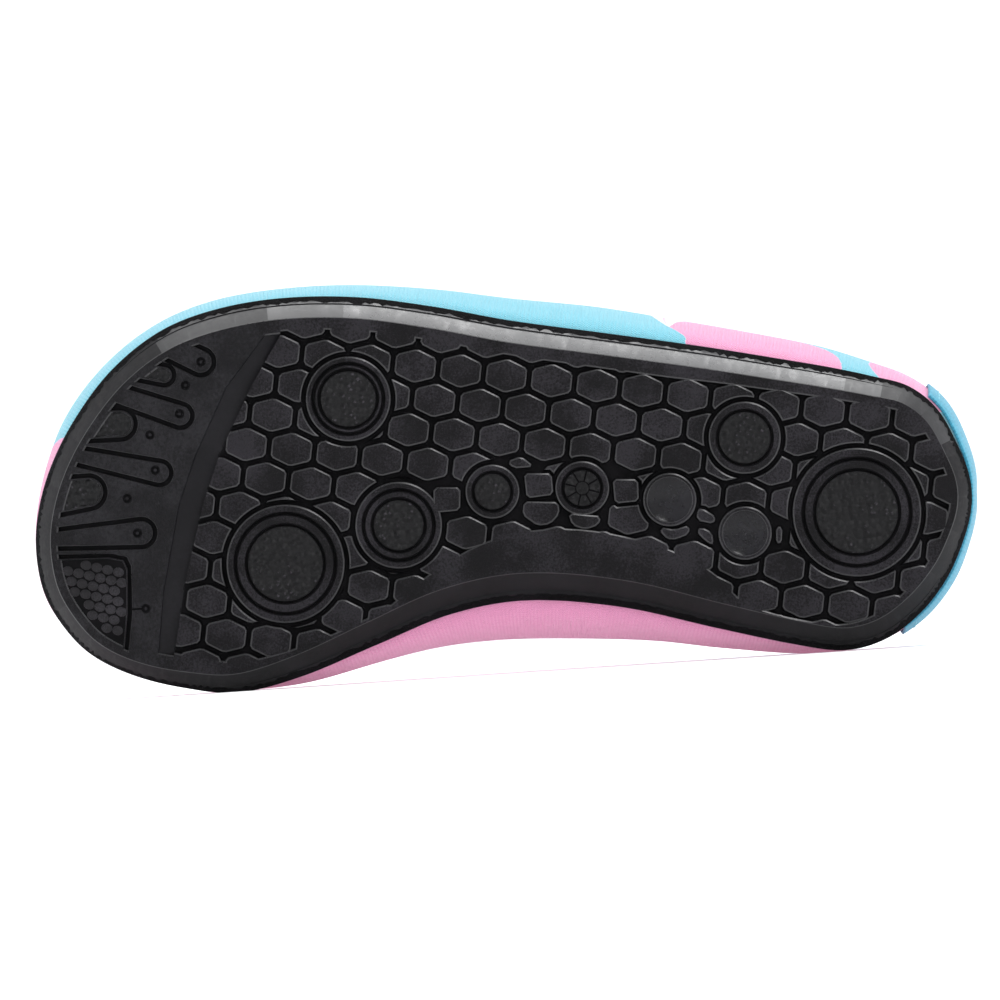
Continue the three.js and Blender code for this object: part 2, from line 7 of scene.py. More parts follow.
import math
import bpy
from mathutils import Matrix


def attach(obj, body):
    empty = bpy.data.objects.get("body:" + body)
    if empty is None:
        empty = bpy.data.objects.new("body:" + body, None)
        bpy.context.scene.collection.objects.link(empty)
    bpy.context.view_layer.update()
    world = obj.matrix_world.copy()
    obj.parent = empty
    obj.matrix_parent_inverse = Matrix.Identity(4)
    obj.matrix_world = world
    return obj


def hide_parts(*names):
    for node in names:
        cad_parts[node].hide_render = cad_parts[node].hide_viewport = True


bl_info = {
    "name": "Water shoe",
    "version": (1, 0, 0),
    "blender": (4, 5, 0),
    "location": "View3D > Sidebar > Shoe",
    "description": "A child's water shoe: rubber outsole, printed knit upper, insole, heel patch",
    "category": "Object",
}

import bmesh
import bpy
from mathutils import Matrix, Vector, noise
from mathutils.bvhtree import BVHTree

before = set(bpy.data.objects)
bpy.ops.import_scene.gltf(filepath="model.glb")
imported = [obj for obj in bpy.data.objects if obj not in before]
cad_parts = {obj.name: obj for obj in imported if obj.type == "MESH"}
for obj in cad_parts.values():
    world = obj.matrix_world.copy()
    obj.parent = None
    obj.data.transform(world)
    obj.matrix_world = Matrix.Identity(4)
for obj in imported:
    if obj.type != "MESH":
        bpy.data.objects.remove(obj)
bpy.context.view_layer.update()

# Where the frame has the shoe: its tilt and turn, and its origin at the middle of the heel's end
MILLIMETRE = 0.001
TILT = math.radians(-0.5775)
TURN = math.radians(0.5740)
ORIGIN = Vector((99.6466, -31.3773, 29.0602))
LAID = (
    Matrix.Rotation(math.pi, 4, "Z")
    @ Matrix.Rotation(math.pi / 2 + TILT, 4, "X")
    @ Matrix.Rotation(TURN, 4, "Z")
)
TO_ROW = Matrix.Scale(MILLIMETRE, 4) @ Matrix.Translation(ORIGIN) @ LAID

# Sizes of the shoe
SOLE_LENGTH = 201.0
BALL_WIDTH = 83.5
INSTEP_HEIGHT = 63.0
TOE_SPRING = 15.5
CLEARANCE = 0.3
PLATFORM = 4.0
LIP_HEIGHT = 7.0
LIP_THICKNESS = 1.5
FLARE = 4.7
TREAD_DEPTH = 1.4
SHALLOW = 0.8
STATIONS = 110

# Tread pattern
LUG_WIDTH = 8.3
LUG_LENGTH = 6.95
LUG_SHOULDER = 3.92
LUG_PITCH = 9.73
ROW_PITCH = 6.83
ROW_TURN = math.radians(9.4)
LUG_GROOVE = 1.4
BAR_BORDER = 3.0
TOE_BORDER = 1.5
RING_GROOVE = 0.7
FINGER_GROOVE = 1.05
BEVEL = 0.15
BEVEL_DEPTH = 0.14
FINE_BEVEL = 0.1
DRAFT = 0.1
FOOT = 0.3


def table(names, rows):
    return {name: [row[i] for row in rows] for i, name in enumerate(names)}


# Plan of the rim and how far the upper bulges past it: shares of the length and the ball width
PLAN = table(("along", "lateral", "medial", "lateral_bulge", "medial_bulge"), [
    (0.000, 0.036, 0.036, 0.010, 0.010),
    (0.010, 0.144, -0.075, 0.024, 0.014),
    (0.030, 0.247, -0.174, 0.029, 0.017),
    (0.060, 0.314, -0.261, 0.028, 0.014),
    (0.100, 0.347, -0.327, 0.036, 0.005),
    (0.145, 0.376, -0.350, 0.047, 0.004),
    (0.200, 0.406, -0.326, 0.055, 0.028),
    (0.280, 0.448, -0.274, 0.059, 0.050),
    (0.380, 0.495, -0.207, 0.065, 0.086),
    (0.480, 0.541, -0.177, 0.062, 0.098),
    (0.560, 0.587, -0.201, 0.050, 0.083),
    (0.640, 0.622, -0.268, 0.037, 0.050),
    (0.720, 0.631, -0.337, 0.030, 0.019),
    (0.790, 0.613, -0.371, 0.029, -0.004),
    (0.850, 0.568, -0.351, 0.026, -0.003),
    (0.905, 0.478, -0.310, 0.026, 0.000),
    (0.950, 0.353, -0.247, 0.029, 0.002),
    (0.980, 0.228, -0.159, 0.014, 0.003),
    (0.995, 0.122, -0.078, 0.007, 0.004),
    (1.000, 0.024, 0.024, 0.005, 0.005),
])

# How far the side wall leans out, as shares of the flare
LEAN = table(("along", "lateral", "medial"), [
    (0.00, 0.68, 0.68),
    (0.05, 0.80, 0.90),
    (0.15, 0.95, 1.02),
    (0.48, 1.00, 1.24),
    (0.70, 0.96, 1.02),
    (0.82, 0.96, 0.80),
    (0.92, 0.84, 0.64),
    (1.00, 0.72, 0.72),
])

# Crest of the last: side shift over the ball width, height and widest height over the instep's
CREST = table(("along", "shift", "height", "widest"), [
    (0.00, 0.035, 1.20, 0.34),
    (0.15, 0.035, 1.22, 0.36),
    (0.30, 0.080, 1.15, 0.36),
    (0.50, 0.140, 1.01, 0.36),
    (0.65, 0.110, 0.86, 0.35),
    (0.80, 0.075, 0.69, 0.33),
    (0.92, 0.050, 0.58, 0.28),
    (1.00, 0.035, 0.52, 0.24),
])
CREST_SPAN = (0.085, 0.895)

# Lift of the shoe off the floor: shares of the length and of the toe spring
LIFT = table(("along", "height"), [
    (0.00, 0.06),
    (0.06, 0.00),
    (0.20, 0.00),
    (0.40, 0.06),
    (0.60, 0.00),
    (0.74, 0.06),
    (0.83, 0.26),
    (0.92, 0.62),
    (1.00, 1.00),
])

# Side view of the collar's edge: shares of the length and the instep height
COLLAR = table(("x", "z"), [
    (-0.06, 0.92),
    (0.05, 0.82),
    (0.14, 0.72),
    (0.25, 0.68),
    (0.37, 0.76),
    (0.46, 0.90),
    (0.53, 1.06),
    (0.58, 1.30),
])

# Plain border between the lugs and the tread's edge: shares of the length and the ball width
BORDER = table(("along", "lateral", "medial"), [
    (0.00, 0.020, 0.020),
    (0.10, 0.024, 0.014),
    (0.25, 0.030, 0.010),
    (0.30, 0.034, 0.074),
    (0.36, 0.034, 0.104),
    (0.44, 0.032, 0.114),
    (0.51, 0.030, 0.090),
    (0.58, 0.030, 0.036),
    (0.62, 0.030, 0.010),
    (0.72, 0.030, 0.016),
    (0.85, 0.030, 0.042),
    (1.00, 0.030, 0.050),
])

# Edges of the sloping bar across the forefoot, from the lateral to the medial side
BAR = table(("across", "back", "front"), [
    (0.70, 0.716, 0.728),
    (0.54, 0.724, 0.740),
    (0.41, 0.759, 0.785),
    (0.24, 0.797, 0.822),
    (0.12, 0.817, 0.842),
    (-0.02, 0.834, 0.856),
    (-0.10, 0.843, 0.864),
    (-0.24, 0.855, 0.872),
    (-0.29, 0.860, 0.876),
])

# Round lugs: centre, radius and radius of each fine groove, shares of the length and ball width
ROUND_LUGS = [
    (0.1243, 0.001, 0.1620, (0.1370, 0.1080)),
    (0.7322, -0.048, 0.1490, (0.1280, 0.0990)),
    (0.6558, 0.363, 0.1060, (0.0900, 0.0740)),
    (0.6100, 0.034, 0.1085, (0.0900, 0.0670)),
    (0.5088, 0.106, 0.0668, (0.0490,)),
    (0.4135, 0.102, 0.0668, (0.0490,)),
    (0.2386, 0.207, 0.0900, (0.0690,)),
]
DIMPLES = [(0.3216, 0.060, 0.0660), (0.2439, -0.036, 0.0660)]
LUG_ORIGIN = (0.535 * SOLE_LENGTH, 0.418 * BALL_WIDTH)

# Fingers under the toes: centre and half width of the tip, then of the root
FINGERS = [
    (0.810, 0.479, 0.034, 0.848, 0.529, 0.030),
    (0.850, 0.451, 0.026, 0.880, 0.470, 0.026),
    (0.835, 0.345, 0.031, 0.905, 0.412, 0.023),
    (0.900, 0.333, 0.040, 0.930, 0.335, 0.044),
    (0.861, 0.202, 0.031, 0.955, 0.262, 0.017),
    (0.938, 0.163, 0.043, 0.975, 0.156, 0.056),
    (0.884, 0.051, 0.036, 0.985, 0.047, 0.017),
]
ROUGH_FINGERS = (1, 3, 5, 7)
FLOOR_DEPTH = 0.18
# Outline of the scaled patch under the big toe
TOE_PATCH = [
    (0.990, 0.003), (0.919, -0.002), (0.903, -0.012), (0.899, -0.036), (0.901, -0.151),
    (0.908, -0.262), (0.920, -0.400), (1.100, -0.400), (1.100, 0.003),
]
PATCH_CENTRE = (0.97, -0.15)


def smooth(knots, values, at):
    """A cubic between knots, with slopes from its neighbours."""
    last = len(knots) - 1

    def slope(i):
        before, after = max(i - 1, 0), min(i + 1, last)
        return (values[after] - values[before]) / (knots[after] - knots[before])

    i = 0
    while i < last - 1 and at > knots[i + 1]:
        i += 1
    span = knots[i + 1] - knots[i]
    t = min(max((at - knots[i]) / span, 0), 1)
    rise = 3 * t * t - 2 * t ** 3
    bend = t * (1 - t) * span * ((1 - t) * slope(i) - t * slope(i + 1))
    return values[i] * (1 - rise) + values[i + 1] * rise + bend


def angle_of(along):
    return math.acos(1 - 2 * along)


def along_of(angle):
    return (1 - math.cos(angle)) / 2


PLAN_ANGLES = [angle_of(along) for along in PLAN["along"]]


def on_plan(name, angle):
    return BALL_WIDTH * smooth(PLAN_ANGLES, PLAN[name], angle)


def lean_at(side, angle):
    return FLARE * smooth(LEAN["along"], LEAN[side], along_of(angle))


def rim_point(side, angle, outwards):
    """A point on the rim's plan, moved outwards square to the outline."""
    step = 1e-3

    def at(a):
        within = min(max(a, 0), math.pi)
        return Vector((SOLE_LENGTH * along_of(within), on_plan(side, within)))

    if step <= angle <= math.pi - step:
        run = (at(angle + step) - at(angle - step)).normalized()
        turn = 1 if side == "lateral" else -1
        outward = Vector((-run.y, run.x)) * turn
    else:
        outward = Vector((math.copysign(1, angle - 1), 0))
    return at(angle) + outward * outwards


def stops_of(stations):
    """Where the ribs and rings stand: up the lateral side to the toe and back down the medial."""
    stops = [("lateral", math.pi * i / stations) for i in range(stations + 1)]
    return stops + [("medial", math.pi * i / stations) for i in range(stations - 1, 0, -1)]


STOPS = stops_of(STATIONS)
RIM_STOPS = stops_of(3 * STATIONS)


def lift_at(x):
    along = min(max(x / SOLE_LENGTH, 0), 1)
    return TOE_SPRING * max(smooth(LIFT["along"], LIFT["height"], along), 0)


# Mesh helpers

def sheet(columns, rows, place, uv=None, closed=False):
    """A grid whose corner (i, j) is put at place(i, j), with its own uv in metres."""
    bm = bmesh.new()
    bmesh.ops.create_grid(bm, x_segments=columns, y_segments=rows, size=0.5)
    corners = {}
    for v in bm.verts:
        corners[v] = (round((v.co.x + 0.5) * columns), round((v.co.y + 0.5) * rows))
    if uv:
        layer = bm.loops.layers.uv.new("fabric")
        for face in bm.faces:
            for loop in face.loops:
                loop[layer].uv = uv(*corners[loop.vert])
    for v, (i, j) in corners.items():
        v.co = place(i, j)
    bmesh.ops.remove_doubles(bm, verts=bm.verts, dist=0.002)
    bmesh.ops.dissolve_degenerate(bm, dist=0.001, edges=bm.edges)
    bmesh.ops.recalc_face_normals(bm, faces=bm.faces)
    return bm


def loft(bm, rings, materials=(0,)):
    """A closed solid through rings of equal corners: a capped circle, extruded ring by ring."""
    made = bmesh.ops.create_circle(bm, cap_ends=True, radius=1, segments=len(rings[0]))
    cap = made["verts"][0].link_faces[0]
    for loop, p in zip(cap.loops, rings[0]):
        loop.vert.co = p
    cap.material_index = materials[0]
    for k, ring in enumerate(rings[1:]):
        below = cap
        out = bmesh.ops.extrude_face_region(bm, geom=[below])
        cap = next(f for f in out["geom"] if isinstance(f, bmesh.types.BMFace))
        if k > 0 and below.is_valid:
            bm.faces.remove(below)
        for loop, p in zip(cap.loops, ring):
            loop.vert.co = p
        for edge in cap.edges:
            for face in edge.link_faces:
                face.material_index = materials[min(k, len(materials) - 1)]
    cap.material_index = materials[-1]


def finished(bm, name, materials=(), smooth_angle=None, lifted=False, row=True):
    """The object of a bmesh, lifted at the toe and laid on its side."""
    if lifted:
        for v in bm.verts:
            v.co.z += lift_at(v.co.x)
    mesh = bpy.data.meshes.new(name)
    bm.to_mesh(mesh)
    bm.free()
    if row:
        mesh.transform(TO_ROW)
    for material in materials:
        mesh.materials.append(material)
    obj = bpy.data.objects.new(name, mesh)
    bpy.context.scene.collection.objects.link(obj)
    if smooth_angle is not None:
        mesh.shade_smooth()
        mesh.set_sharp_from_angle(angle=math.radians(smooth_angle))
    return obj


def thickened(obj, thickness):
    """Gives a sheet its thickness, inwards from its face."""
    wall = obj.modifiers.new("wall", "SOLIDIFY")
    wall.thickness = thickness * MILLIMETRE
    wall.offset = -1
    return wall


def softened(obj, width, segments, angle):
    """Rounds the edges that are sharper than an angle."""
    edge = obj.modifiers.new("edge", "BEVEL")
    edge.width = width * MILLIMETRE
    edge.segments = segments
    edge.limit_method = "ANGLE"
    edge.angle_limit = math.radians(angle)


def rounded_off(obj):
    """Divides a sheet once more, so that its curves are smooth."""
    modifier = obj.modifiers.new("round_off", "SUBSURF")
    modifier.levels = modifier.render_levels = 1


def all_of(bm):
    return bm.verts[:] + bm.edges[:] + bm.faces[:]


def boolean(obj, other, operation):
    """Cuts or joins a solid with another, which is then gone."""
    modifier = obj.modifiers.new("cut", "BOOLEAN")
    modifier.operation = operation
    modifier.object = other
    modifier.solver = "EXACT"
    modifier.material_mode = "INDEX"
    modifier.use_self = False
    graph = bpy.context.evaluated_depsgraph_get()
    mesh = bpy.data.meshes.new_from_object(obj.evaluated_get(graph))
    obj.modifiers.clear()
    obj.data = mesh
    bpy.data.objects.remove(other)
    return obj


def solid(bm, name):
    bmesh.ops.recalc_face_normals(bm, faces=bm.faces)
    return finished(bm, name, row=False)


def circle(x, y, radius, z, sides):
    return [
        Vector((x + radius * math.cos(2 * math.pi * k / sides),
                y + radius * math.sin(2 * math.pi * k / sides), z))
        for k in range(sides)
    ]


# Faces of the outsole carry the index of one of its finishes
TOP, SHADED_GROOVE, PEBBLE, GLOSS, WALL, SHADED_FLASH, SMOOTH, TOE, EDGE, SCALED, SHADED_WALL, HALF_SHADED_WALL, LIGHTLY_SHADED_WALL = range(13)

# Beyond every edge of the shoe
FAR = 400

# Rings up the outside of the outsole: share of the wall's lean, way inwards, height, how torn,
# and the finish from there to the next
WALL_RINGS = [
    (1.00, 0.18, 0.00, 0.0, EDGE),
    (1.00, 0.00, 0.18, 0.0, WALL),
    (0.35, 0.00, 4.20, 0.0, WALL),
    # The ragged flash under the knit has near black rubber: painted shade in the crevice where the
    # knit overhangs the rim
    (0.25, 0.00, 4.80, 0.8, SHADED_FLASH),
    (0.19, 0.00, 5.00, 0.5, SHADED_FLASH),
    (0.04, 0.00, 5.60, 0.0, SHADED_FLASH),
    (0.00, 0.00, 5.90, 0.0, SHADED_FLASH),
    (0.00, 0.00, 6.50, 0.0, SHADED_FLASH),
    (0.00, 0.30, LIP_HEIGHT, 0.0, SMOOTH),
    (0.00, LIP_THICKNESS - 0.2, LIP_HEIGHT, 0.0, SMOOTH),
    (0.00, LIP_THICKNESS, LIP_HEIGHT - 0.2, 0.0, SMOOTH),
    (0.00, LIP_THICKNESS, PLATFORM, 0.0, SMOOTH),
]
TEARS = 1.9
# Lit and shaded copies of the side wall's rubber, painted shade: lightest and shiniest along the
# outer side, darker and duller towards the toe, heel and inner side: finish, from x, to x and from
# y
SIDE_WALL_SHADING = [(WALL, 26, 132, 22), (LIGHTLY_SHADED_WALL, 18, 148, 22), (HALF_SHADED_WALL, -9, 172, 14), (SHADED_WALL, -99, 299, -99)]


def tread_ring(border_at, outwards, z):
    ring = []
    for side, angle in STOPS:
        inwards = lean_at(side, angle) + border_at(side, along_of(angle)) - outwards
        p = rim_point(side, angle, -inwards)
        ring.append(Vector((p.x, p.y, z)))
    return ring


def wall_ring(share, inwards, z, torn):
    """A ring round the side wall, a share of its lean inside the rim, torn by the mould."""
    ring = []
    for side, angle in RIM_STOPS:
        outwards = -share * lean_at(side, angle) - inwards
        p = rim_point(side, angle, outwards)
        tear = torn * noise.noise(Vector((p.x, p.y, 0)) * TEARS)
        p = rim_point(side, angle, outwards + tear)
        ring.append(Vector((p.x, p.y, z + tear)))
    return ring


def outsole_body():
    """The outsole's block: tread, leaning side wall with its ragged flash, and the cup's lip."""
    bm = bmesh.new()
    loft(bm, [wall_ring(*ring) for *ring, _ in WALL_RINGS], [finish for *_, finish in WALL_RINGS])
    # Faces of the side wall then take the lit copy or a shaded copy of its rubber, by where they
    # stand: painted shade
    for face in bm.faces:
        c = face.calc_center_median()
        if len(face.verts) == len(RIM_STOPS):
            face.material_index = TOP if c.z < 1 else SMOOTH
        elif face.material_index == WALL:
            face.material_index = next(
                finish for finish, low, high, y in SIDE_WALL_SHADING if low < c.x < high and c.y > y)
    return solid(bm, "outsole_body")


def cut_profile(depth, low=-1.0):
    """How far a cut's edge stands out at each height: worn bevel, draft and foot."""
    return [(BEVEL, low), (BEVEL, 0), (-BEVEL, BEVEL_DEPTH), (-BEVEL - DRAFT, depth - FOOT),
            (-BEVEL - FOOT, depth)]


def zone(border_at, depth, name, floor=SHADED_GROOVE):
    """Room cut out of the tread inside a border, with a bevel at its edge."""
    bm = bmesh.new()
    loft(bm, [tread_ring(border_at, out, z) for out, z in cut_profile(depth)], (floor, EDGE, floor))
    return solid(bm, name)


def bar_edge(name):
    return [(SOLE_LENGTH * s, BALL_WIDTH * a) for s, a in zip(BAR[name], BAR["across"])]


def behind_bar(name, ahead, bottom, top):
    """Everything on the heel's side of one of the bar's edges."""
    edge = [(x + ahead, y) for x, y in bar_edge(name)]
    outline = edge + [(edge[-1][0], -FAR), (-FAR, -FAR), (-FAR, FAR), (edge[0][0], FAR)]
    bm = bmesh.new()
    rings = [[Vector((x, y, z)) for x, y in outline] for z in (bottom, top)]
    loft(bm, rings, (SHADED_GROOVE,))
    return solid(bm, "behind")


def lug_centres():
    """Centres of the lugs in reach of the tread, in rows that drift to the lateral side."""
    columns = math.ceil(SOLE_LENGTH / LUG_PITCH)
    rows = math.ceil(1.6 * BALL_WIDTH / ROW_PITCH)
    turn = Matrix.Rotation(ROW_TURN, 2)
    centres = []
    for row in range(-rows, rows + 1):
        for column in range(-columns, columns + 1):
            shift = abs(row % 2) / 2
            place = turn @ Vector(((column + shift) * LUG_PITCH, row * ROW_PITCH))
            place += Vector(LUG_ORIGIN)
            if not 0 < place.x < SOLE_LENGTH:
                continue
            angle = angle_of(place.x / SOLE_LENGTH)
            low, high = on_plan("medial", angle), on_plan("lateral", angle)
            if low - LUG_PITCH < place.y < high + LUG_PITCH:
                centres.append(place)
    return centres


def kept_profile(depth=TREAD_DEPTH):
    """How far a kept stud's edge stands out at each height: worn bevel, draft and foot."""
    return [(-BEVEL, -2.5), (-BEVEL, 0), (BEVEL, BEVEL_DEPTH), (BEVEL + DRAFT, depth - FOOT),
            (BEVEL + FOOT, depth), (BEVEL + FOOT, depth + 1)]


CUT_FINISH = (SHADED_GROOVE, EDGE, SHADED_GROOVE)


def grown_outline(outline, out):
    """An outline with its corners moved outwards by an amount, square to its sides."""
    count = len(outline)
    grown = []
    for i, p in enumerate(outline):
        before = (p - outline[i - 1]).normalized()
        after = (outline[(i + 1) % count] - p).normalized()
        a = Vector((before.y, -before.x))
        b = Vector((after.y, -after.x))
        middle = (a + b).normalized()
        grown.append(p + middle * (out / max(middle.dot(a), 0.4)))
    return grown


def blunted(outline, cut):
    """An outline with its corners cut to two, a short way from each."""
    count = len(outline)
    points = []
    for i, p in enumerate(outline):
        for q in (outline[i - 1], outline[(i + 1) % count]):
            way = q - p
            points.append(p + way.normalized() * min(cut, way.length / 3))
    return points


LUG = [
    (LUG_WIDTH / 2, -LUG_SHOULDER / 2),
    (LUG_WIDTH / 2, LUG_SHOULDER / 2),
    (0, LUG_LENGTH / 2),
    (-LUG_WIDTH / 2, LUG_SHOULDER / 2),
    (-LUG_WIDTH / 2, -LUG_SHOULDER / 2),
    (0, -LUG_LENGTH / 2),
]

# Blocks that stand between the small rounds, in place of lugs: outlines in millimetres
BLOCKS = [
    [(89.6, 11.9), (95.2, 12.2), (94.9, 7.2), (89.5, 7.6)],
    [(88.5, 5.7), (95.6, 6.2), (96.0, 3.6), (93.0, 1.2), (90.4, 1.4), (88.4, 3.4)],
    [(109.2, 10.0), (114.6, 10.3), (114.9, 5.2), (109.5, 5.4)],
    [(71.3, 9.6), (76.4, 9.9), (76.2, 5.0), (71.4, 5.2)],
    [(79.6, 2.2), (86.2, 3.2), (85.6, 0.9), (83.0, -0.2), (80.2, 0.6)],
    [(66.9, -0.9), (64.0, -1.6), (60.9, -0.8), (61.1, -2.5), (64.6, -3.5), (66.4, -2.6)],
    [(58.8, 2.3), (58.0, 2.7), (55.2, 0.8), (55.7, -0.5), (59.0, 0.4)],
    [(59.0, -1.9), (58.3, -1.4), (56.2, -2.5), (56.0, -4.8), (56.7, -4.7), (58.6, -2.9)],
    [(42.2, -2.2), (41.2, -2.3), (41.5, -5.4), (42.4, -5.4)],
    [(98.6, 15.0), (95.8, 15.9), (93.4, 13.8), (97.4, 13.7)],
]
MOAT = 1.1
# Lugs nearer than this to a block's middle make room for it
NO_LUG = 4.2
DISH_DEPTH = 1.0


def prisms(outlines, profile, name, materials=CUT_FINISH):
    """Closed solids on outlines, which stand out by each step of a profile."""
    bm = bmesh.new()
    for outline in outlines:
        rings = [[Vector((p.x, p.y, z)) for p in grown_outline(outline, out)] for out, z in profile]
        loft(bm, rings, materials)
    return solid(bm, name)


def copies(outline, places, profile, name):
    """One prism and its copies at each place, as one solid of many islands."""
    one = prisms([outline], profile, name)
    bm = bmesh.new()
    for place in places:
        known = len(bm.verts)
        bm.from_mesh(one.data)
        bm.verts.ensure_lookup_table()
        bmesh.ops.translate(bm, verts=bm.verts[known:], vec=(place.x, place.y, 0))
    bpy.data.objects.remove(one)
    return solid(bm, name)


def turned(bm, x, y, profile, sides, materials):
    """A closed solid turned about an upright axis: radius and height down its profile."""
    loft(bm, [circle(x, y, max(radius, 0.01), z, sides) for radius, z in profile], materials)


def tube_ring(bm, x, y, inner, outer, bottom, top, sides, material):
    """A channel's cutter: a flat ring between two radii, tapered towards its floor."""
    taper, half = 0.12, FINE_BEVEL
    corners = [(inner - half, bottom), (outer + half, bottom), (outer + half, 0), (outer, half),
               (outer - taper, top), (inner + taper, top), (inner, half), (inner - half, 0)]
    made = bmesh.ops.create_circle(bm, cap_ends=False, radius=1, segments=len(corners))
    for v, (radius, z) in zip(made["verts"], corners):
        v.co = Vector((x + radius, y, z))
    edges = list({e for v in made["verts"] for e in v.link_edges})
    bmesh.ops.spin(bm, geom=made["verts"] + edges, cent=(x, y, 0), axis=(0, 0, 1),
                   angle=2 * math.pi, steps=sides, use_merge=True)
    near = outer + 2
    for face in bm.faces:
        c = face.calc_center_median()
        if math.hypot(c.x - x, c.y - y) < near:
            face.material_index = material


def rounds():
    """Centre and radius of every round lug and dimple, in millimetres."""
    places = [(a * SOLE_LENGTH, c * BALL_WIDTH, r * BALL_WIDTH) for a, c, r, _ in ROUND_LUGS]
    places += [(a * SOLE_LENGTH, c * BALL_WIDTH, r * BALL_WIDTH) for a, c, r in DIMPLES]
    return places


def field_cutter():
    """What is cut away between the lugs, from the heel to the bar."""
    def border_at(side, along):
        return BALL_WIDTH * smooth(BORDER["along"], BORDER[side], along)

    cutter = zone(border_at, TREAD_DEPTH, "field")
    boolean(cutter, behind_bar("back", 0, -3, 4), "INTERSECT")
    centres = lug_centres()
    middles = [sum((Vector(p) for p in block), Vector((0, 0))) / len(block) for block in BLOCKS]
    centres = [c for c in centres if all((c - m).length > NO_LUG for m in middles)]
    hexagon = blunted([Vector(p) for p in LUG], 0.45)
    turn = Matrix.Rotation(ROW_TURN, 2)
    lugs = copies([turn @ p for p in hexagon], centres, kept_profile(), "lugs")
    blocks = [blunted([Vector(p) for p in block][::-1], 0.6) for block in BLOCKS]
    blocks = [block if outline_area(block) > 0 else block[::-1] for block in blocks]
    moat = [(MOAT + out, z) for out, z in cut_profile(TREAD_DEPTH, -4)]
    moat.append((moat[-1][0], TREAD_DEPTH + 3))
    boolean(lugs, room(LUG_GROOVE), "DIFFERENCE")
    for block in blocks:
        boolean(lugs, prisms([block], moat, "moat"), "DIFFERENCE")
    studs = bmesh.new()
    for x, y, radius in rounds():
        profile = [(radius + out, z - 0.3 * (z < -1)) for out, z in kept_profile()]
        turned(studs, x, y, profile, 64, CUT_FINISH)
    boolean(cutter, lugs, "DIFFERENCE")
    boolean(cutter, solid(studs, "studs"), "DIFFERENCE")
    boolean(cutter, prisms(blocks, kept_profile(), "blocks"), "DIFFERENCE")
    return cutter


def room(gap):
    """Room round every round lug and dimple, cut out of the lugs beside them."""
    bm = bmesh.new()
    for x, y, radius in rounds():
        profile = [(radius + gap + out, z) for out, z in cut_profile(TREAD_DEPTH, -4)]
        profile.append((profile[-1][0], TREAD_DEPTH + 3))
        turned(bm, x, y, profile, 64, CUT_FINISH)
    return solid(bm, "room")


def outline_area(outline):
    return sum(a.cross(b) for a, b in zip(outline, outline[1:] + outline[:1])) / 2


def bar_cutter():
    """The bar across the forefoot: a small step at its front, sloping down to the lugs' floor."""
    step, overlap = 0.3, 0.25
    bm = bmesh.new()
    rings = []
    for (xb, y), (xf, _) in zip(bar_edge("back"), bar_edge("front")):
        rings.append([Vector(p) for p in (
            (xb - overlap, y, -1.5), (xf, y, -1.5), (xf, y, 0), (xf - 0.2, y, step),
            (xb - overlap, y, TREAD_DEPTH + 0.02))])
    loft(bm, rings, (SMOOTH,))
    bar = solid(bm, "bar")
    within = zone(lambda side, along: BAR_BORDER, TREAD_DEPTH + 0.5, "bar_zone", SMOOTH)
    boolean(bar, within, "INTERSECT")
    return bar


def finger_outline(finger, margin):
    """A finger from its round tip to beyond the tread's edge, grown by a margin."""
    tip = Vector((finger[0] * SOLE_LENGTH, finger[1] * BALL_WIDTH))
    root = Vector((finger[3] * SOLE_LENGTH, finger[4] * BALL_WIDTH))
    way = (root - tip).normalized()
    across = Vector((-way.y, way.x))
    tip_half = finger[2] * BALL_WIDTH + margin
    root_half = finger[5] * BALL_WIDTH + margin
    points = []
    for k in range(19):
        turn = math.pi / 2 + math.pi * k / 18
        around = way * (tip_half * math.cos(turn)) + across * (tip_half * math.sin(turn))
        points.append(tip + around)
    far = root + way * LUG_PITCH
    return points + [far - across * root_half, far + across * root_half]


def patch_outline(margin):
    """The toe patch, grown by a margin away from its middle."""
    centre = Vector((PATCH_CENTRE[0] * SOLE_LENGTH, PATCH_CENTRE[1] * BALL_WIDTH))
    outline = []
    for x, y in TOE_PATCH:
        away = Vector((x * SOLE_LENGTH, y * BALL_WIDTH)) - centre
        outline.append(centre + away.normalized() * (away.length + margin))
    return outline


def toe_cutters():
    """Grooves round the fingers and the patch under the toes, and the textured fingers' floors."""
    half, taper, lap = FINGER_GROOVE / 2, 0.12, FINGER_GROOVE / 2 + FINE_BEVEL
    outer = [(lap, -2), (lap, 0), (half, FINE_BEVEL), (half - taper, SHALLOW)]
    inner = [(-lap, -3), (-lap, 0), (-half, FINE_BEVEL), (-half + taper, SHALLOW),
             (-half + taper, SHALLOW + 1)]
    floor = [(-lap - 0.2, -2), (-lap - 0.2, 0), (-lap - 0.25, FLOOR_DEPTH)]
    outlines = [lambda m, f=finger: finger_outline(f, m) for finger in FINGERS] + [patch_outline]
    cutters = []
    for k, outline in enumerate(outlines):
        parts = []
        rough = (SHADED_GROOVE,) if outline is patch_outline else (PEBBLE,)
        for profile, finish in ((outer, CUT_FINISH), (inner, CUT_FINISH), (floor, rough)):
            bm = bmesh.new()
            loft(bm, [[Vector((p.x, p.y, z)) for p in outline(m)] for m, z in profile], finish)
            parts.append(solid(bm, "toe_part"))
        groove = boolean(parts[0], parts[1], "DIFFERENCE")
        cutters.append(boolean(groove, toe_zone(TOE_BORDER), "INTERSECT"))
        if k in ROUGH_FINGERS:
            cutters.append(boolean(parts[2], toe_zone(TOE_BORDER + 0.6), "INTERSECT"))
        else:
            bpy.data.objects.remove(parts[2])
    return cutters


def toe_zone(border):
    return zone(lambda side, along: border, SHALLOW + 0.6, "toe_zone", PEBBLE)


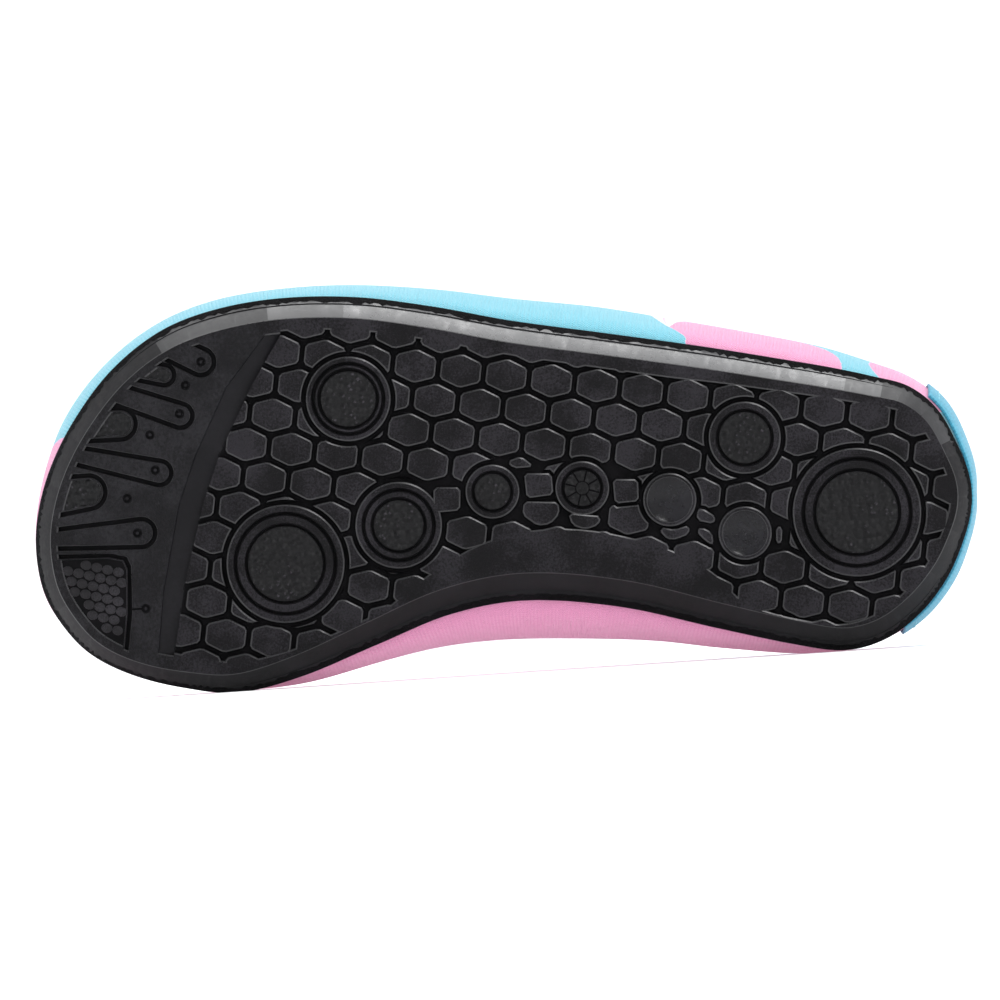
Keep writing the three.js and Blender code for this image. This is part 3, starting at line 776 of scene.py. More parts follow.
# Small round marks with a stem, left by the mould's vents: x, y, and the way of the stem
MARKS = [
    (177.6, -11.9, 3.4), (166.4, 35.2, 0), (174.6, 25.1, 0), (180.3, 11.8, 0),
    (162.8, 40.0, 0), (168.0, 29.2, 0), (173.9, 17.5, 0), (178.5, 4.3, 0),
]
# The small round lug with spokes round a hub
SPOKED = (83.1, 8.5)
HUB = 1.45
SPOKE_END = 3.7


def detail_cutters():
    """Fine ring grooves in the round lugs, and the vents' marks."""
    bm = bmesh.new()
    for along, across, radius, grooves in ROUND_LUGS:
        x, y = along * SOLE_LENGTH, across * BALL_WIDTH
        for groove in grooves:
            r = groove * BALL_WIDTH
            half = RING_GROOVE / 2
            tube_ring(bm, x, y, r - half, r + half, -1, SHALLOW, 64, SHADED_GROOVE)
    for x, y, stem in MARKS:
        tube_ring(bm, x, y, 0.42, 0.92, -1, 0.3, 20, SHADED_GROOVE)
    tube_ring(bm, *SPOKED, HUB - 0.16, HUB + 0.16, -1, 0.34, 32, SHADED_GROOVE)
    rings = solid(bm, "details")
    bars = [((0.8, stem), 0, Vector((x, y))) for x, y, stem in MARKS if stem]
    bars += [((HUB, SPOKE_END), k * math.pi / 4 + 0.3, Vector(SPOKED)) for k in range(8)]
    stems = []
    for (near, far), turn, centre in bars:
        corners = ((near, -0.16), (far, -0.16), (far, 0.16), (near, 0.16))
        spin = Matrix.Rotation(turn, 2)
        stems.append([centre + spin @ Vector(corner) for corner in corners])
    return [rings, prisms(stems, [(0.08, -1), (0.08, 0), (0, 0.34)], "stems", (SHADED_GROOVE,))]


def floor_cutter():
    """The sunk floors of the round lugs and the two dished dimples."""
    bm = bmesh.new()
    for along, across, radius, grooves in ROUND_LUGS:
        x, y = along * SOLE_LENGTH, across * BALL_WIDTH
        r = grooves[-1] * BALL_WIDTH - RING_GROOVE / 2 + 0.1
        turned(bm, x, y, [(r, -2), (r, FLOOR_DEPTH)], 64, (PEBBLE,))
    for along, across, radius in DIMPLES:
        x, y = along * SOLE_LENGTH, across * BALL_WIDTH
        r = radius * BALL_WIDTH
        rim, drop, steps = r - 0.75, 0.2, 14
        profile = [(rim + 0.2, -2), (rim + 0.2, 0), (rim, drop)]
        for k in range(1, steps + 1):
            t = k / steps
            profile.append((rim * (1 - t), drop + DISH_DEPTH * (1 - (1 - t) ** 2)))
        turned(bm, x, y, profile, 64, (SHADED_GROOVE, EDGE, GLOSS))
    return solid(bm, "floors")


# Pads like scales on the toe patch: step along a row, step between rows, and the rows' slope
SCALE_STEP = 2.4
SCALE_ROWS = 2.04
SCALE_TURN = math.radians(15.2)


def patch_scales():
    """Low pads in staggered, sloping rows that fill the patch under the toes."""
    patch = [p.to_3d() for p in patch_outline(-FINGER_GROOVE / 2 - 1.1)]
    inside = BVHTree.FromPolygons(patch, [range(len(patch))])
    ring = tread_ring(lambda side, along: TOE_BORDER + 1.5, 0, 0)
    tread = BVHTree.FromPolygons(ring, [range(len(ring))])
    turn = Matrix.Rotation(SCALE_TURN, 2)
    start = Vector((0.93 * SOLE_LENGTH, -0.16 * BALL_WIDTH))
    bm = bmesh.new()
    reach = 14
    for row in range(-reach, reach + 1):
        for column in range(-reach, reach + 1):
            shift = abs(row % 2) / 2
            p = start + turn @ Vector(((column + shift) * SCALE_STEP, row * SCALE_ROWS))
            above = p.to_3d() + Vector((0, 0, 1))
            if not all(tree.ray_cast(above, (0, 0, -1))[0] for tree in (inside, tread)):
                continue
            size = Matrix.Diagonal((0.51 * SCALE_STEP, 0.51 * SCALE_ROWS, 1.15 * FLOOR_DEPTH, 1))
            place = Matrix.Translation((p.x, p.y, FLOOR_DEPTH)) @ turn.to_4x4() @ size
            bmesh.ops.create_uvsphere(bm, u_segments=12, v_segments=8, radius=1, matrix=place)
    bmesh.ops.bisect_plane(bm, geom=all_of(bm), plane_co=(0, 0, FLOOR_DEPTH + 0.02),
                           plane_no=(0, 0, 1), clear_outer=True)
    for face in bm.faces:
        face.material_index = SCALED
    mesh = bpy.data.meshes.new("scales")
    bm.to_mesh(mesh)
    bm.free()
    return mesh


def toe_area_index(bm):
    """Marks the raised ground round the fingers, whose grain is coarser."""
    front = list(zip(BAR["across"], BAR["front"]))[::-1]
    knots = [BALL_WIDTH * a for a, _ in front]
    values = [SOLE_LENGTH * f for _, f in front]
    for face in bm.faces:
        if face.material_index != TOP:
            continue
        c = face.calc_center_median()
        at = smooth(knots, values, min(max(c.y, knots[0]), knots[-1]))
        if c.x > at:
            face.material_index = TOE


# The flat outsole is cut across at this step, so that its lift at the toe bends it smoothly
BEND_STEP = 5.0


def build_outsole(materials):
    """The outsole's block with its tread cut in, bent up at the toe."""
    body = outsole_body()
    boolean(body, field_cutter(), "DIFFERENCE")
    boolean(body, bar_cutter(), "DIFFERENCE")
    for cutter in toe_cutters():
        boolean(body, cutter, "DIFFERENCE")
    for cutter in detail_cutters() + [floor_cutter()]:
        boolean(body, cutter, "DIFFERENCE")
    bm = bmesh.new()
    bm.from_mesh(body.data)
    bpy.data.objects.remove(body)
    bmesh.ops.remove_doubles(bm, verts=bm.verts, dist=0.002)
    bmesh.ops.dissolve_degenerate(bm, dist=0.002, edges=bm.edges)
    for k in range(1, int(SOLE_LENGTH / BEND_STEP) + 1):
        bmesh.ops.bisect_plane(bm, geom=all_of(bm), dist=0.002, plane_co=(k * BEND_STEP, 0, 0),
                               plane_no=(1, 0, 0))
    toe_area_index(bm)
    bm.from_mesh(patch_scales())
    obj = finished(bm, "rubber_outsole", materials, smooth_angle=24, lifted=True)
    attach(obj, "root")
    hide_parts("outsole")
    return obj


# Upper: a knit shell on the last's form, open at the collar and underneath
WALL_THICKNESS = 2.0
HEM_WIDTH = 6.0
RIB_ROWS = 30
UPPER_STATIONS = 84
UPPER_STOPS = stops_of(UPPER_STATIONS)

# Creases of the empty upper: ends of each, width and depth in millimetres, a ridge if negative
CREASES = [
    ((150, -26, 34), (141, 22, 42), 3.4, 0.9),
    ((142, -30, 33), (133, 30, 44), 3.8, 1.1),
    ((133, -28, 40), (124, 34, 46), 3.6, 0.8),
    ((122, 0, 62), (108, 44, 44), 4.2, 0.9),
    ((137, -8, 50), (128, 26, 52), 3.0, -0.5),
    ((60, 44, 30), (84, 48, 34), 4.5, 0.7),
    ((66, -28, 26), (96, -24, 34), 4.5, 0.8),
    ((24, 26, 24), (30, 34, 52), 5.0, 0.7),
    ((20, -26, 26), (28, -24, 54), 5.0, 0.6),
    ((172, -6, 36), (166, 20, 38), 3.0, 0.4),
    ((84, 46, 12), (118, 52, 13), 2.4, 0.35),
    ((52, 44, 12), (70, 47, 12), 2.2, 0.3),
    ((84, -30, 13), (108, -28, 13), 2.4, 0.3),
]


def rib(side, angle, grown):
    """One rib of the last's form, from its edge inside the lip up to the crest."""
    along = along_of(angle)
    edge = rim_point(side, angle, -LIP_THICKNESS - CLEARANCE + grown)
    wide = rim_point(side, angle, on_plan(side + "_bulge", angle) + grown)
    widest = INSTEP_HEIGHT * smooth(CREST["along"], CREST["widest"], along)
    top = Vector((
        SOLE_LENGTH * (CREST_SPAN[0] + (CREST_SPAN[1] - CREST_SPAN[0]) * along),
        BALL_WIDTH * smooth(CREST["along"], CREST["shift"], along),
        INSTEP_HEIGHT * smooth(CREST["along"], CREST["height"], along) + grown,
    ))
    shoulder = LIP_HEIGHT + CLEARANCE - min(grown, 0)
    points = [Vector((edge.x, edge.y, PLATFORM + CLEARANCE)), Vector((edge.x, edge.y, shoulder))]
    for k in range(1, 9):
        turn = math.pi * k / 18
        p = edge.lerp(wide, math.sin(turn))
        points.append(Vector((p.x, p.y, shoulder + (widest - shoulder) * (1 - math.cos(turn)))))
    for k in range(30):
        turn = math.pi * k / 60
        p = top.xy.lerp(wide, math.cos(turn) ** 1.15)
        points.append(Vector((p.x, p.y, widest + (top.z - widest) * math.sin(turn) ** 0.95)))
    return points + [top]


# The collar's front end: share of the length, and the last place where its height is read
COLLAR_END = 0.58
COLLAR_LAST = 116.5
ABOVE_ALL = 1000


def collar_height(x):
    along = x / SOLE_LENGTH
    if along >= COLLAR_END:
        return ABOVE_ALL
    return INSTEP_HEIGHT * smooth(COLLAR["x"], COLLAR["z"], along)


def below_collar(points, lowered):
    """A rib's points up to the collar's edge, the edge lowered in side view."""
    def above(p):
        slope = (collar_height(p.x + 0.5) - collar_height(p.x - 0.5)) if p.x < 115 else 0
        return p.z - collar_height(p.x) + lowered * math.sqrt(1 + slope * slope)

    kept = [points[0], points[1]]
    for p, q in zip(points[1:], points[2:]):
        if above(q) > 0:
            share = above(p) / (above(p) - above(q))
            return kept + [p.lerp(q, min(max(share, 0.01), 1))]
        kept.append(q)
    return kept


def resampled(points, count):
    """Points at equal steps along a line through points."""
    lengths = [0]
    for p, q in zip(points, points[1:]):
        lengths.append(lengths[-1] + (q - p).length)
    out, k = [], 0
    for i in range(count + 1):
        at = lengths[-1] * i / count
        while k < len(points) - 2 and lengths[k + 1] < at:
            k += 1
        span = max(lengths[k + 1] - lengths[k], 1e-9)
        out.append(points[k].lerp(points[k + 1], min((at - lengths[k]) / span, 1)))
    return out, lengths[-1]


def creased(bm):
    """Moves a sheet's corners in and out for its creases, over a slight unevenness."""
    bm.normal_update()
    moves = {}
    for v in bm.verts:
        move = 0.0
        for start, end, width, depth in CREASES:
            a, b = Vector(start), Vector(end)
            run = b - a
            share = (v.co - a).dot(run) / run.length_squared
            near = a + run * min(max(share, 0), 1)
            fade = math.sin(math.pi * min(max(share, 0.03), 0.97)) ** 0.5
            off = (v.co - near).length
            if off < 4 * width:
                move -= depth * fade * (math.exp(-(off / width) ** 2)
                                        - 0.35 * math.exp(-((off - 2.1 * width) / width) ** 2))
        swell = noise.noise(v.co * 0.045) * 0.35 if v.co.z > 12 else 0
        moves[v] = v.normal * (move + swell)
    for v, move in moves.items():
        v.co += move


def form_sheet(grown, stops, rows, cut=True, lowered=0.0):
    """The last's form as one sheet: a rib at each stop, cut at the collar."""
    ribs, lengths = [], []
    for side, angle in stops:
        points = rib(side, angle, grown)
        if cut:
            points = below_collar(points, lowered)
        above, length = resampled(points[1:], rows)
        ribs.append([points[0]] + above)
        lengths.append(length)
    rim = [rim_point(side, angle, 0) for side, angle in stops]
    reach = [0]
    for p, q in zip(rim, rim[1:] + rim[:1]):
        reach.append(reach[-1] + (q - p).length)
    count = len(stops)

    def uv(i, j):
        run = 3 + lengths[i % count] * (j - 1) / rows if j else 0
        return (reach[i] / 10, run / 10)

    return sheet(count, rows + 1, lambda i, j: ribs[i % count][j], uv)


def build_upper(materials):
    """The knit shell: the last's form below the collar, creased, with its wall."""
    bm = form_sheet(0, UPPER_STOPS, RIB_ROWS)
    creased(bm)
    obj = finished(bm, "knit_upper", materials, lifted=True)
    obj.data.shade_smooth()
    wall = thickened(obj, WALL_THICKNESS)
    wall.use_even_offset = False
    wall.material_offset = 1
    wall.material_offset_rim = 0
    rounded_off(obj)
    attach(obj, "root")
    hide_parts("upper")
    return obj


def collar_loops(tree, lowered, count):
    """Places and normals round the collar on the last's form, a way below its edge."""
    sides = {1: [], -1: []}
    steps = 900
    for k in range(steps + 1):
        x = SOLE_LENGTH * (-0.06 + 0.64 * k / steps)
        ahead, behind = min(x + 0.2, COLLAR_LAST), min(x - 0.2, COLLAR_LAST - 0.4)
        run = Vector((0.4, collar_height(ahead) - collar_height(behind))).normalized()
        height = collar_height(min(x, COLLAR_LAST))
        at = Vector((x + run.y * lowered, height - run.x * lowered))
        for way, found in sides.items():
            hit, normal, _, _ = tree.ray_cast(Vector((at.x, way * 150, at.y)), Vector((0, -way, 0)))
            if hit:
                found.append((hit, normal))
    line = sides[1] + sides[-1][::-1]
    places = [p for p, _ in line]
    even, _ = resampled(places + places[:1], count)
    loop = []
    for p in even[:-1]:
        _, normal, _, _ = tree.find_nearest(p)
        loop.append((p, normal))
    return loop


# Section of the turned hem: how far below the collar's edge, and how far out from the knit
HEM = [
    (6.0, 0.1), (6.05, 0.6), (5.6, 0.95), (4.0, 1.05), (2.0, 1.05), (0.4, 0.95), (-0.35, 0.4),
    (-0.55, -0.9), (-0.2, -2.2), (0.8, -2.7), (3.0, -2.8), (5.6, -2.75), (6.0, -2.5), (6.0, -2.0),
]


def build_collar(material, thread):
    """The turned hem, a closed band round the collar, and its two rows of stitches."""
    bm = form_sheet(0, UPPER_STOPS, RIB_ROWS, cut=False)
    creased(bm)
    tree = BVHTree.FromBMesh(bm)
    count = 220
    loops = []
    for lowered, out in HEM:
        loops.append([p + n * out for p, n in collar_loops(tree, lowered, count)])
    lengths = [0]
    for p, q in zip(loops[3], loops[3][1:] + loops[3][:1]):
        lengths.append(lengths[-1] + (q - p).length)
    band = sheet(count, len(HEM) - 1, lambda i, j: loops[j][i % count],
                 lambda i, j: (lengths[i] / 10, j * 0.12))
    obj = finished(band, "collar_hem", [material], lifted=True)
    obj.data.shade_smooth()
    rounded_off(obj)
    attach(obj, "root")
    for name, lowered in (("collar_stitches_low", 4.9), ("collar_stitches_high", 1.6)):
        line = [(p + n * 1.02, n) for p, n in collar_loops(tree, lowered, 140)]
        build_stitches(name, line, thread, 1.7, 0.24)
    return obj


def build_stitches(name, line, material, length, radius):
    """A row of stitches: short threads along a closed or open line of places and normals."""
    bm = bmesh.new()
    for (p, n), (q, _) in zip(line, line[1:] + line[:1]):
        run = q - p
        if not 0.5 < run.length < 3 * length:
            continue
        forward = run.normalized()
        across = n.cross(forward).normalized()
        turn = Matrix((forward, across, forward.cross(across))).transposed().to_4x4()
        size = Matrix.Diagonal((length / 2, radius, radius * 0.8, 1))
        bmesh.ops.create_uvsphere(bm, u_segments=8, v_segments=5, radius=1,
                                  matrix=Matrix.Translation((p + q) / 2) @ turn @ size)
    obj = finished(bm, name, [material], smooth_angle=60, lifted=True)
    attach(obj, "root")
    return obj


# Heel patch
PATCH_THICKNESS = 0.6
PATCH_BOTTOM = 9.0
PATCH_GAP = 1.2
PATCH_REACH = 11.6
PATCH_SLANT = 0.16


def build_heel_patch(material, thread):
    """The cloth over the back of the heel, and a row of stitches down each front edge."""
    steps = 40
    widest = angle_of(0.115)
    stops = [("lateral", widest * (1 - i / steps)) for i in range(steps)]
    stops += [("medial", widest * i / steps) for i in range(steps + 1)]
    rows = 22
    ribs, lengths = [], []
    for side, angle in stops:
        points = below_collar(rib(side, angle, CLEARANCE + PATCH_THICKNESS), HEM_WIDTH + PATCH_GAP)
        k = next(k for k, p in enumerate(points) if p.z >= PATCH_BOTTOM)
        p, q = points[k - 1], points[k]
        start = p.lerp(q, (PATCH_BOTTOM - p.z) / (q.z - p.z))
        line, length = resampled([start] + points[k:], rows)
        ribs.append(line)
        lengths.append(length)
    reach = [0]
    for p, q in zip(ribs, ribs[1:]):
        reach.append(reach[-1] + (q[4] - p[4]).length)
    bm = sheet(len(stops) - 1, rows, lambda i, j: ribs[i][j],
               lambda i, j: (reach[i] / 10, lengths[i] * j / rows / 10))
    bmesh.ops.bisect_plane(bm, geom=all_of(bm), dist=0.01, plane_co=(PATCH_REACH, 0, 0),
                           plane_no=(1, PATCH_SLANT, 0), clear_outer=True)
    obj = finished(bm, "heel_patch", [material], lifted=True)
    obj.data.shade_smooth()
    thickened(obj, PATCH_THICKNESS)
    softened(obj, 0.3, 2, 30)
    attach(obj, "root")
    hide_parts("heel_counter")
    for side in ("lateral", "medial"):
        line = patch_edge(side)
        build_stitches(f"patch_stitches_{side}", line, thread, 1.6, 0.22)
    return obj


def patch_edge(side):
    """Places down the patch's front edge, a way behind it, with their normals."""
    inset = 2.2
    bm = form_sheet(CLEARANCE + PATCH_THICKNESS, UPPER_STOPS, RIB_ROWS, cut=False)
    tree = BVHTree.FromBMesh(bm)
    way = 1 if side == "lateral" else -1
    line = []
    top = collar_height(10) - HEM_WIDTH - PATCH_GAP - 2
    count = 20
    for k in range(count + 1):
        z = PATCH_BOTTOM + 2 + (top - PATCH_BOTTOM - 2) * k / count
        y = 30 * way
        for _ in range(4):
            x = PATCH_REACH - inset - PATCH_SLANT * y
            hit, normal, _, _ = tree.ray_cast(Vector((x, way * 150, z)), Vector((0, -way, 0)))
            if not hit:
                break
            y = hit.y
        if hit:
            line.append((hit + normal * 0.02, normal))
    return line


# Insole
INSOLE_THICKNESS = 1.75


def build_insole(materials):
    """A foam sheet on the platform inside the upper, a little higher at its edge."""
    inset = -LIP_THICKNESS - WALL_THICKNESS - 2 * CLEARANCE
    columns, rows = 90, 16

    def place(i, j):
        angle = math.pi * i / columns
        a = rim_point("lateral", angle, inset)
        b = rim_point("medial", angle, inset)
        share = j / rows
        p = a.lerp(b, share)
        edge = min(share, 1 - share) * (a - b).length
        heel = min(p.x + inset, SOLE_LENGTH + inset - p.x)
        rise = 0.5 * math.exp(-min(edge, max(heel, 0)) / 5)
        return Vector((p.x, p.y, PLATFORM + CLEARANCE + INSOLE_THICKNESS + 0.25 * rise / 0.5))

    def uv(i, j):
        p = place(i, j)
        return (p.x / 10, p.y / 10)

    bm = sheet(columns, rows, place, uv)
    obj = finished(bm, "foam_insole", materials, lifted=True)
    obj.data.shade_smooth()
    thickened(obj, INSOLE_THICKNESS)
    softened(obj, 0.4, 3, 50)
    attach(obj, "root")
    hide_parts("insole")
    return obj


# Materials

def linear(colour):
    """An sRGB hex colour as linear red, green, blue and alpha."""
    values = [int(colour[k:k + 2], 16) / 255 for k in (1, 3, 5)]
    return [v / 12.92 if v <= 0.04045 else ((v + 0.055) / 1.055) ** 2.4 for v in values] + [1.0]


def add(tree, kind, inputs=(), **settings):
    """A node with its settings, and its inputs as values or as another node's outputs."""
    node = tree.nodes.new(kind)
    for name, value in settings.items():
        setattr(node, name, value)
    return wire(tree, node, inputs)


def wire(tree, node, inputs):
    """Sets a node's inputs, as values or as another node's outputs."""
    for key, value in dict(inputs).items():
        if isinstance(value, bpy.types.NodeSocket):
            tree.links.new(value, node.inputs[key])
        else:
            node.inputs[key].default_value = value
    return node


def ramp(tree, value, stops, interpolation="LINEAR"):
    """A colour that follows a value, through positions and colours from low to high."""
    node = add(tree, "ShaderNodeValToRGB", {"Fac": value})
    node.color_ramp.interpolation = interpolation
    elements = node.color_ramp.elements
    while len(elements) < len(stops):
        elements.new(0.9)
    for element, (position, colour) in zip(elements, stops):
        element.position = position
        element.color = [*colour[:3], 1.0]
    return node.outputs["Color"]


def material(name):
    made = bpy.data.materials.new(name)
    made.use_nodes = True
    tree = made.node_tree
    return made, tree, tree.nodes["Principled BSDF"]


def millimetres(tree):
    """Object coordinates in millimetres."""
    at = add(tree, "ShaderNodeTexCoord")
    scale = (1 / MILLIMETRE,) * 3
    return add(tree, "ShaderNodeMapping", {"Vector": at.outputs["Object"], "Scale": scale})


def bump(tree, height, distance, strength=1.0, normal=None):
    inputs = {"Height": height, "Distance": distance * MILLIMETRE, "Strength": strength}
    if normal is not None:
        inputs["Normal"] = normal
    return add(tree, "ShaderNodeBump", inputs).outputs["Normal"]


def rubber(name, dark, light, roughness, grain, depth, gloss=0.2, cells=0.0):
    """Moulded black rubber: near black, a dull sheen, fine grain from the mould.

    The mottle is the dust and release agent that stay in the grain. With pebbles, it is also
    painted shade, darker in the hollows between them.
    """
    made, tree, shader = material(name)
    at = millimetres(tree).outputs["Vector"]
    fine = add(tree, "ShaderNodeTexNoise", {"Vector": at, "Scale": 1 / grain, "Detail": 5,
                                           "Roughness": 0.62})
    broad = add(tree, "ShaderNodeTexNoise", {"Vector": at, "Scale": 0.09, "Detail": 3})
    mottle = maths(tree, "MULTIPLY", fine.outputs["Fac"], broad.outputs["Fac"])
    normal = bump(tree, fine.outputs["Fac"], depth)
    if cells:
        pebble = add(tree, "ShaderNodeTexVoronoi", {"Vector": at, "Scale": 1 / cells,
                                                    "Randomness": 0.9, "Smoothness": 0.25},
                     feature="SMOOTH_F1")
        low = maths(tree, "SUBTRACT", 1.1, pebble.outputs["Distance"])
        # Darker where the pebbles dip: painted shade in the hollows between them
        mottle = maths(tree, "MULTIPLY", mottle, maths(tree, "POWER", low, 2.0))
        normal = bump(tree, low, 0.7 * cells, 1.0, normal)
    rough = add(tree, "ShaderNodeMapRange", {"Value": fine.outputs["Fac"], "From Min": 0.3,
                                             "From Max": 0.7, "To Min": roughness - 0.06,
                                             "To Max": roughness + 0.08})
    wire(tree, shader, {
        "Base Color": ramp(tree, mottle, [(0.2, linear(dark)), (0.33, linear(light))]),
        "Roughness": rough.outputs["Result"], "Specular IOR Level": gloss, "Normal": normal})
    return made


def outsole_materials():
    return [
        rubber("moulded_rubber_lug_tops", "#050406", "#211F23", 0.5, 0.45, 0.35, gloss=0.14),
        # Groove floors and walls are near black and dull: painted shade in the recesses
        rubber("moulded_rubber_grooves_painted_shade", "#050506", "#0B0A0C", 0.75, 0.6, 0.03, gloss=0.08),
        rubber("moulded_rubber_pebbled", "#040405", "#38353A", 0.42, 0.3, 0.06, cells=1.4),
        rubber("polished_rubber_dimples", "#0D0C0F", "#141317", 0.2, 1.2, 0.004, gloss=0.2),
        # The side wall's rubber in four copies: lit along the outer side, and darker and duller
        # elsewhere as painted shade
        rubber("moulded_rubber_side_wall_lit", "#131216", "#1A191D", 0.3, 0.9, 0.012, gloss=1.0),
        # Ragged moulded flash, its rubber made near black and dull: painted shade under the knit
        rubber("torn_rubber_flash_painted_shade", "#030304", "#0E0D10", 0.8, 0.4, 0.5, gloss=0.1),
        rubber("moulded_rubber_smooth", "#0A090C", "#121114", 0.55, 0.8, 0.03, gloss=0.15),
        rubber("moulded_rubber_toe_ground", "#08070A", "#1D1C1F", 0.48, 0.7, 0.45, gloss=0.15),
        rubber("worn_rubber_edges", "#0B0A0C", "#17161A", 0.3, 0.5, 0.02, gloss=0.5),
        rubber("moulded_rubber_scales", "#0E0C0F", "#242226", 0.45, 0.35, 0.15),
        # Shaded copies of the side wall's rubber, darker and duller: painted shade
        rubber("side_wall_rubber_painted_shade", "#070608", "#100F12", 0.6, 0.9, 0.02, gloss=0.2),
        rubber("side_wall_rubber_painted_half_shade", "#0B0A0D", "#151417", 0.45, 0.9, 0.015, gloss=0.45),
        rubber("side_wall_rubber_painted_light_shade", "#0F0E11", "#18171A", 0.37, 0.9, 0.013, gloss=0.75),
    ]


def maths(tree, operation, *values, clamp=False):
    return add(tree, "ShaderNodeMath", dict(enumerate(values)), operation=operation,
               use_clamp=clamp).outputs[0]


def knit_bump(tree, uv, width, height):
    """Rows of knit loops: V shapes of a loop's width and height, from a map in centimetres."""
    split = add(tree, "ShaderNodeSeparateXYZ", {"Vector": uv})
    across = maths(tree, "FRACT", maths(tree, "MULTIPLY", split.outputs["X"], 10 / width))
    slant = maths(tree, "ABSOLUTE", maths(tree, "SUBTRACT", across, 0.5))
    along = maths(tree, "MULTIPLY", split.outputs["Y"], 10 / height)
    row = maths(tree, "ADD", along, maths(tree, "MULTIPLY", slant, 1.6))
    loops = maths(tree, "SINE", maths(tree, "MULTIPLY", row, 2 * math.pi))
    rib = maths(tree, "SINE", maths(tree, "MULTIPLY", across, math.pi))
    ridge = maths(tree, "MULTIPLY", maths(tree, "ADD", loops, 1.0), maths(tree, "ADD", rib, 0.5))
    return maths(tree, "MULTIPLY", ridge, 0.35)


# Blots of pink: centre in the row's millimetres and radius
BLOTS = [
    ((57.9, -27.0, 67.0), 17.4),
    ((49.3, -8.0, 70.0), 15.9),
    ((91.5, -17.0, 60.0), 11.5),
    ((-94.0, -14.0, 32.0), 25.0),
    ((12.0, 26.0, 40.0), 20.0),
    ((-48.0, 12.0, 26.0), 19.0),
]
# Below this height in the row the knit is pink, up to this widest wave
PINK_BELOW = 24.0
WAVE_DEPTH = 7.0
# The white edge: its widest, and from where and how far along the shoe it is at its widest
WHITE_EDGE = 7.0
WHITE_MIDDLE = 35.0
WHITE_REACH = 14.0


def print_field(tree, at):
    """How deep a place is in the pink, and how wide the white edge is there.

    The pink has a wavy edge along the shoe, joined with a few blots. The white edge closes up
    near the sole.
    """
    split = add(tree, "ShaderNodeSeparateXYZ", {"Vector": at})
    x, y, z = (split.outputs[k] for k in "XYZ")
    wave = maths(tree, "SINE", maths(tree, "MULTIPLY", x, 0.085))
    small = maths(tree, "SINE", maths(tree, "MULTIPLY_ADD", x, 0.19, 1.2))
    high = maths(tree, "MAXIMUM", maths(tree, "ADD", y, 12.0), 0.0)
    edge = maths(tree, "MULTIPLY", maths(tree, "ADD", wave, maths(tree, "MULTIPLY", small, 0.4)),
                 maths(tree, "MINIMUM", maths(tree, "MULTIPLY", high, 0.25), WAVE_DEPTH))
    field = maths(tree, "ADD", edge, maths(tree, "SUBTRACT", PINK_BELOW, z))
    for centre, radius in BLOTS:
        off = add(tree, "ShaderNodeVectorMath", {0: at, 1: centre}, operation="DISTANCE")
        inside = maths(tree, "SUBTRACT", radius, off.outputs["Value"])
        field = maths(tree, "SMOOTH_MAX", field, inside, 2.0)
    off = maths(tree, "ABSOLUTE", maths(tree, "SUBTRACT", x, WHITE_MIDDLE))
    away = maths(tree, "SUBTRACT", off, WHITE_REACH)
    closed = maths(tree, "MULTIPLY", maths(tree, "MAXIMUM", away, 0.0), 0.9)
    closed = maths(tree, "MINIMUM", closed, 22.0)
    room = maths(tree, "SUBTRACT", maths(tree, "ADD", y, 19.0), closed)
    band = maths(tree, "MAXIMUM", maths(tree, "MULTIPLY", room, 0.9), 0.05)
    return field, maths(tree, "MINIMUM", band, WHITE_EDGE)


def knit_printed(settings):
    """Polyester stretch knit, dye printed in blue and pink with white edges: matt, soft sheen."""
    made, tree, shader = material("printed_polyester_knit")
    at = millimetres(tree).outputs["Vector"]
    uv = add(tree, "ShaderNodeUVMap", uv_map="fabric").outputs["UV"]
    jitter = add(tree, "ShaderNodeTexNoise", {"Vector": at, "Scale": 1.6, "Detail": 2})
    field, band = print_field(tree, at)
    field = maths(tree, "ADD", field, maths(tree, "MULTIPLY", jitter.outputs["Fac"], 0.5))
    share = maths(tree, "DIVIDE", field, band)
    stops = [(0.0, settings.blue), (0.5, settings.white), (0.58, settings.pale_pink),
             (0.61, settings.white), (0.75, settings.pink)]
    dye = ramp(tree, maths(tree, "MULTIPLY_ADD", share, 0.25, 0.5), stops, "CONSTANT")
    weave = knit_bump(tree, uv, 0.8, 0.6)
    fine = add(tree, "ShaderNodeTexNoise", {"Vector": at, "Scale": 2.4, "Detail": 4})
    speck = maths(tree, "MULTIPLY", maths(tree, "ADD", weave, fine.outputs["Fac"]), 0.5)
    shade = add(tree, "ShaderNodeMapRange", {"Value": speck, "From Min": 0.2, "From Max": 0.8,
                                             "To Min": 0.82, "To Max": 1.06})
    tint = add(tree, "ShaderNodeMix", {"Factor": 1.0, 6: dye, 7: shade.outputs["Result"]},
               data_type="RGBA", blend_type="MULTIPLY")
    normal = bump(tree, fine.outputs["Fac"], 0.1, 1.0, bump(tree, weave, 0.16))
    wire(tree, shader, {"Base Color": tint.outputs[2], "Roughness": 0.82, "Sheen Weight": 0.6,
                        "Sheen Roughness": 0.35, "Normal": normal})
    return made


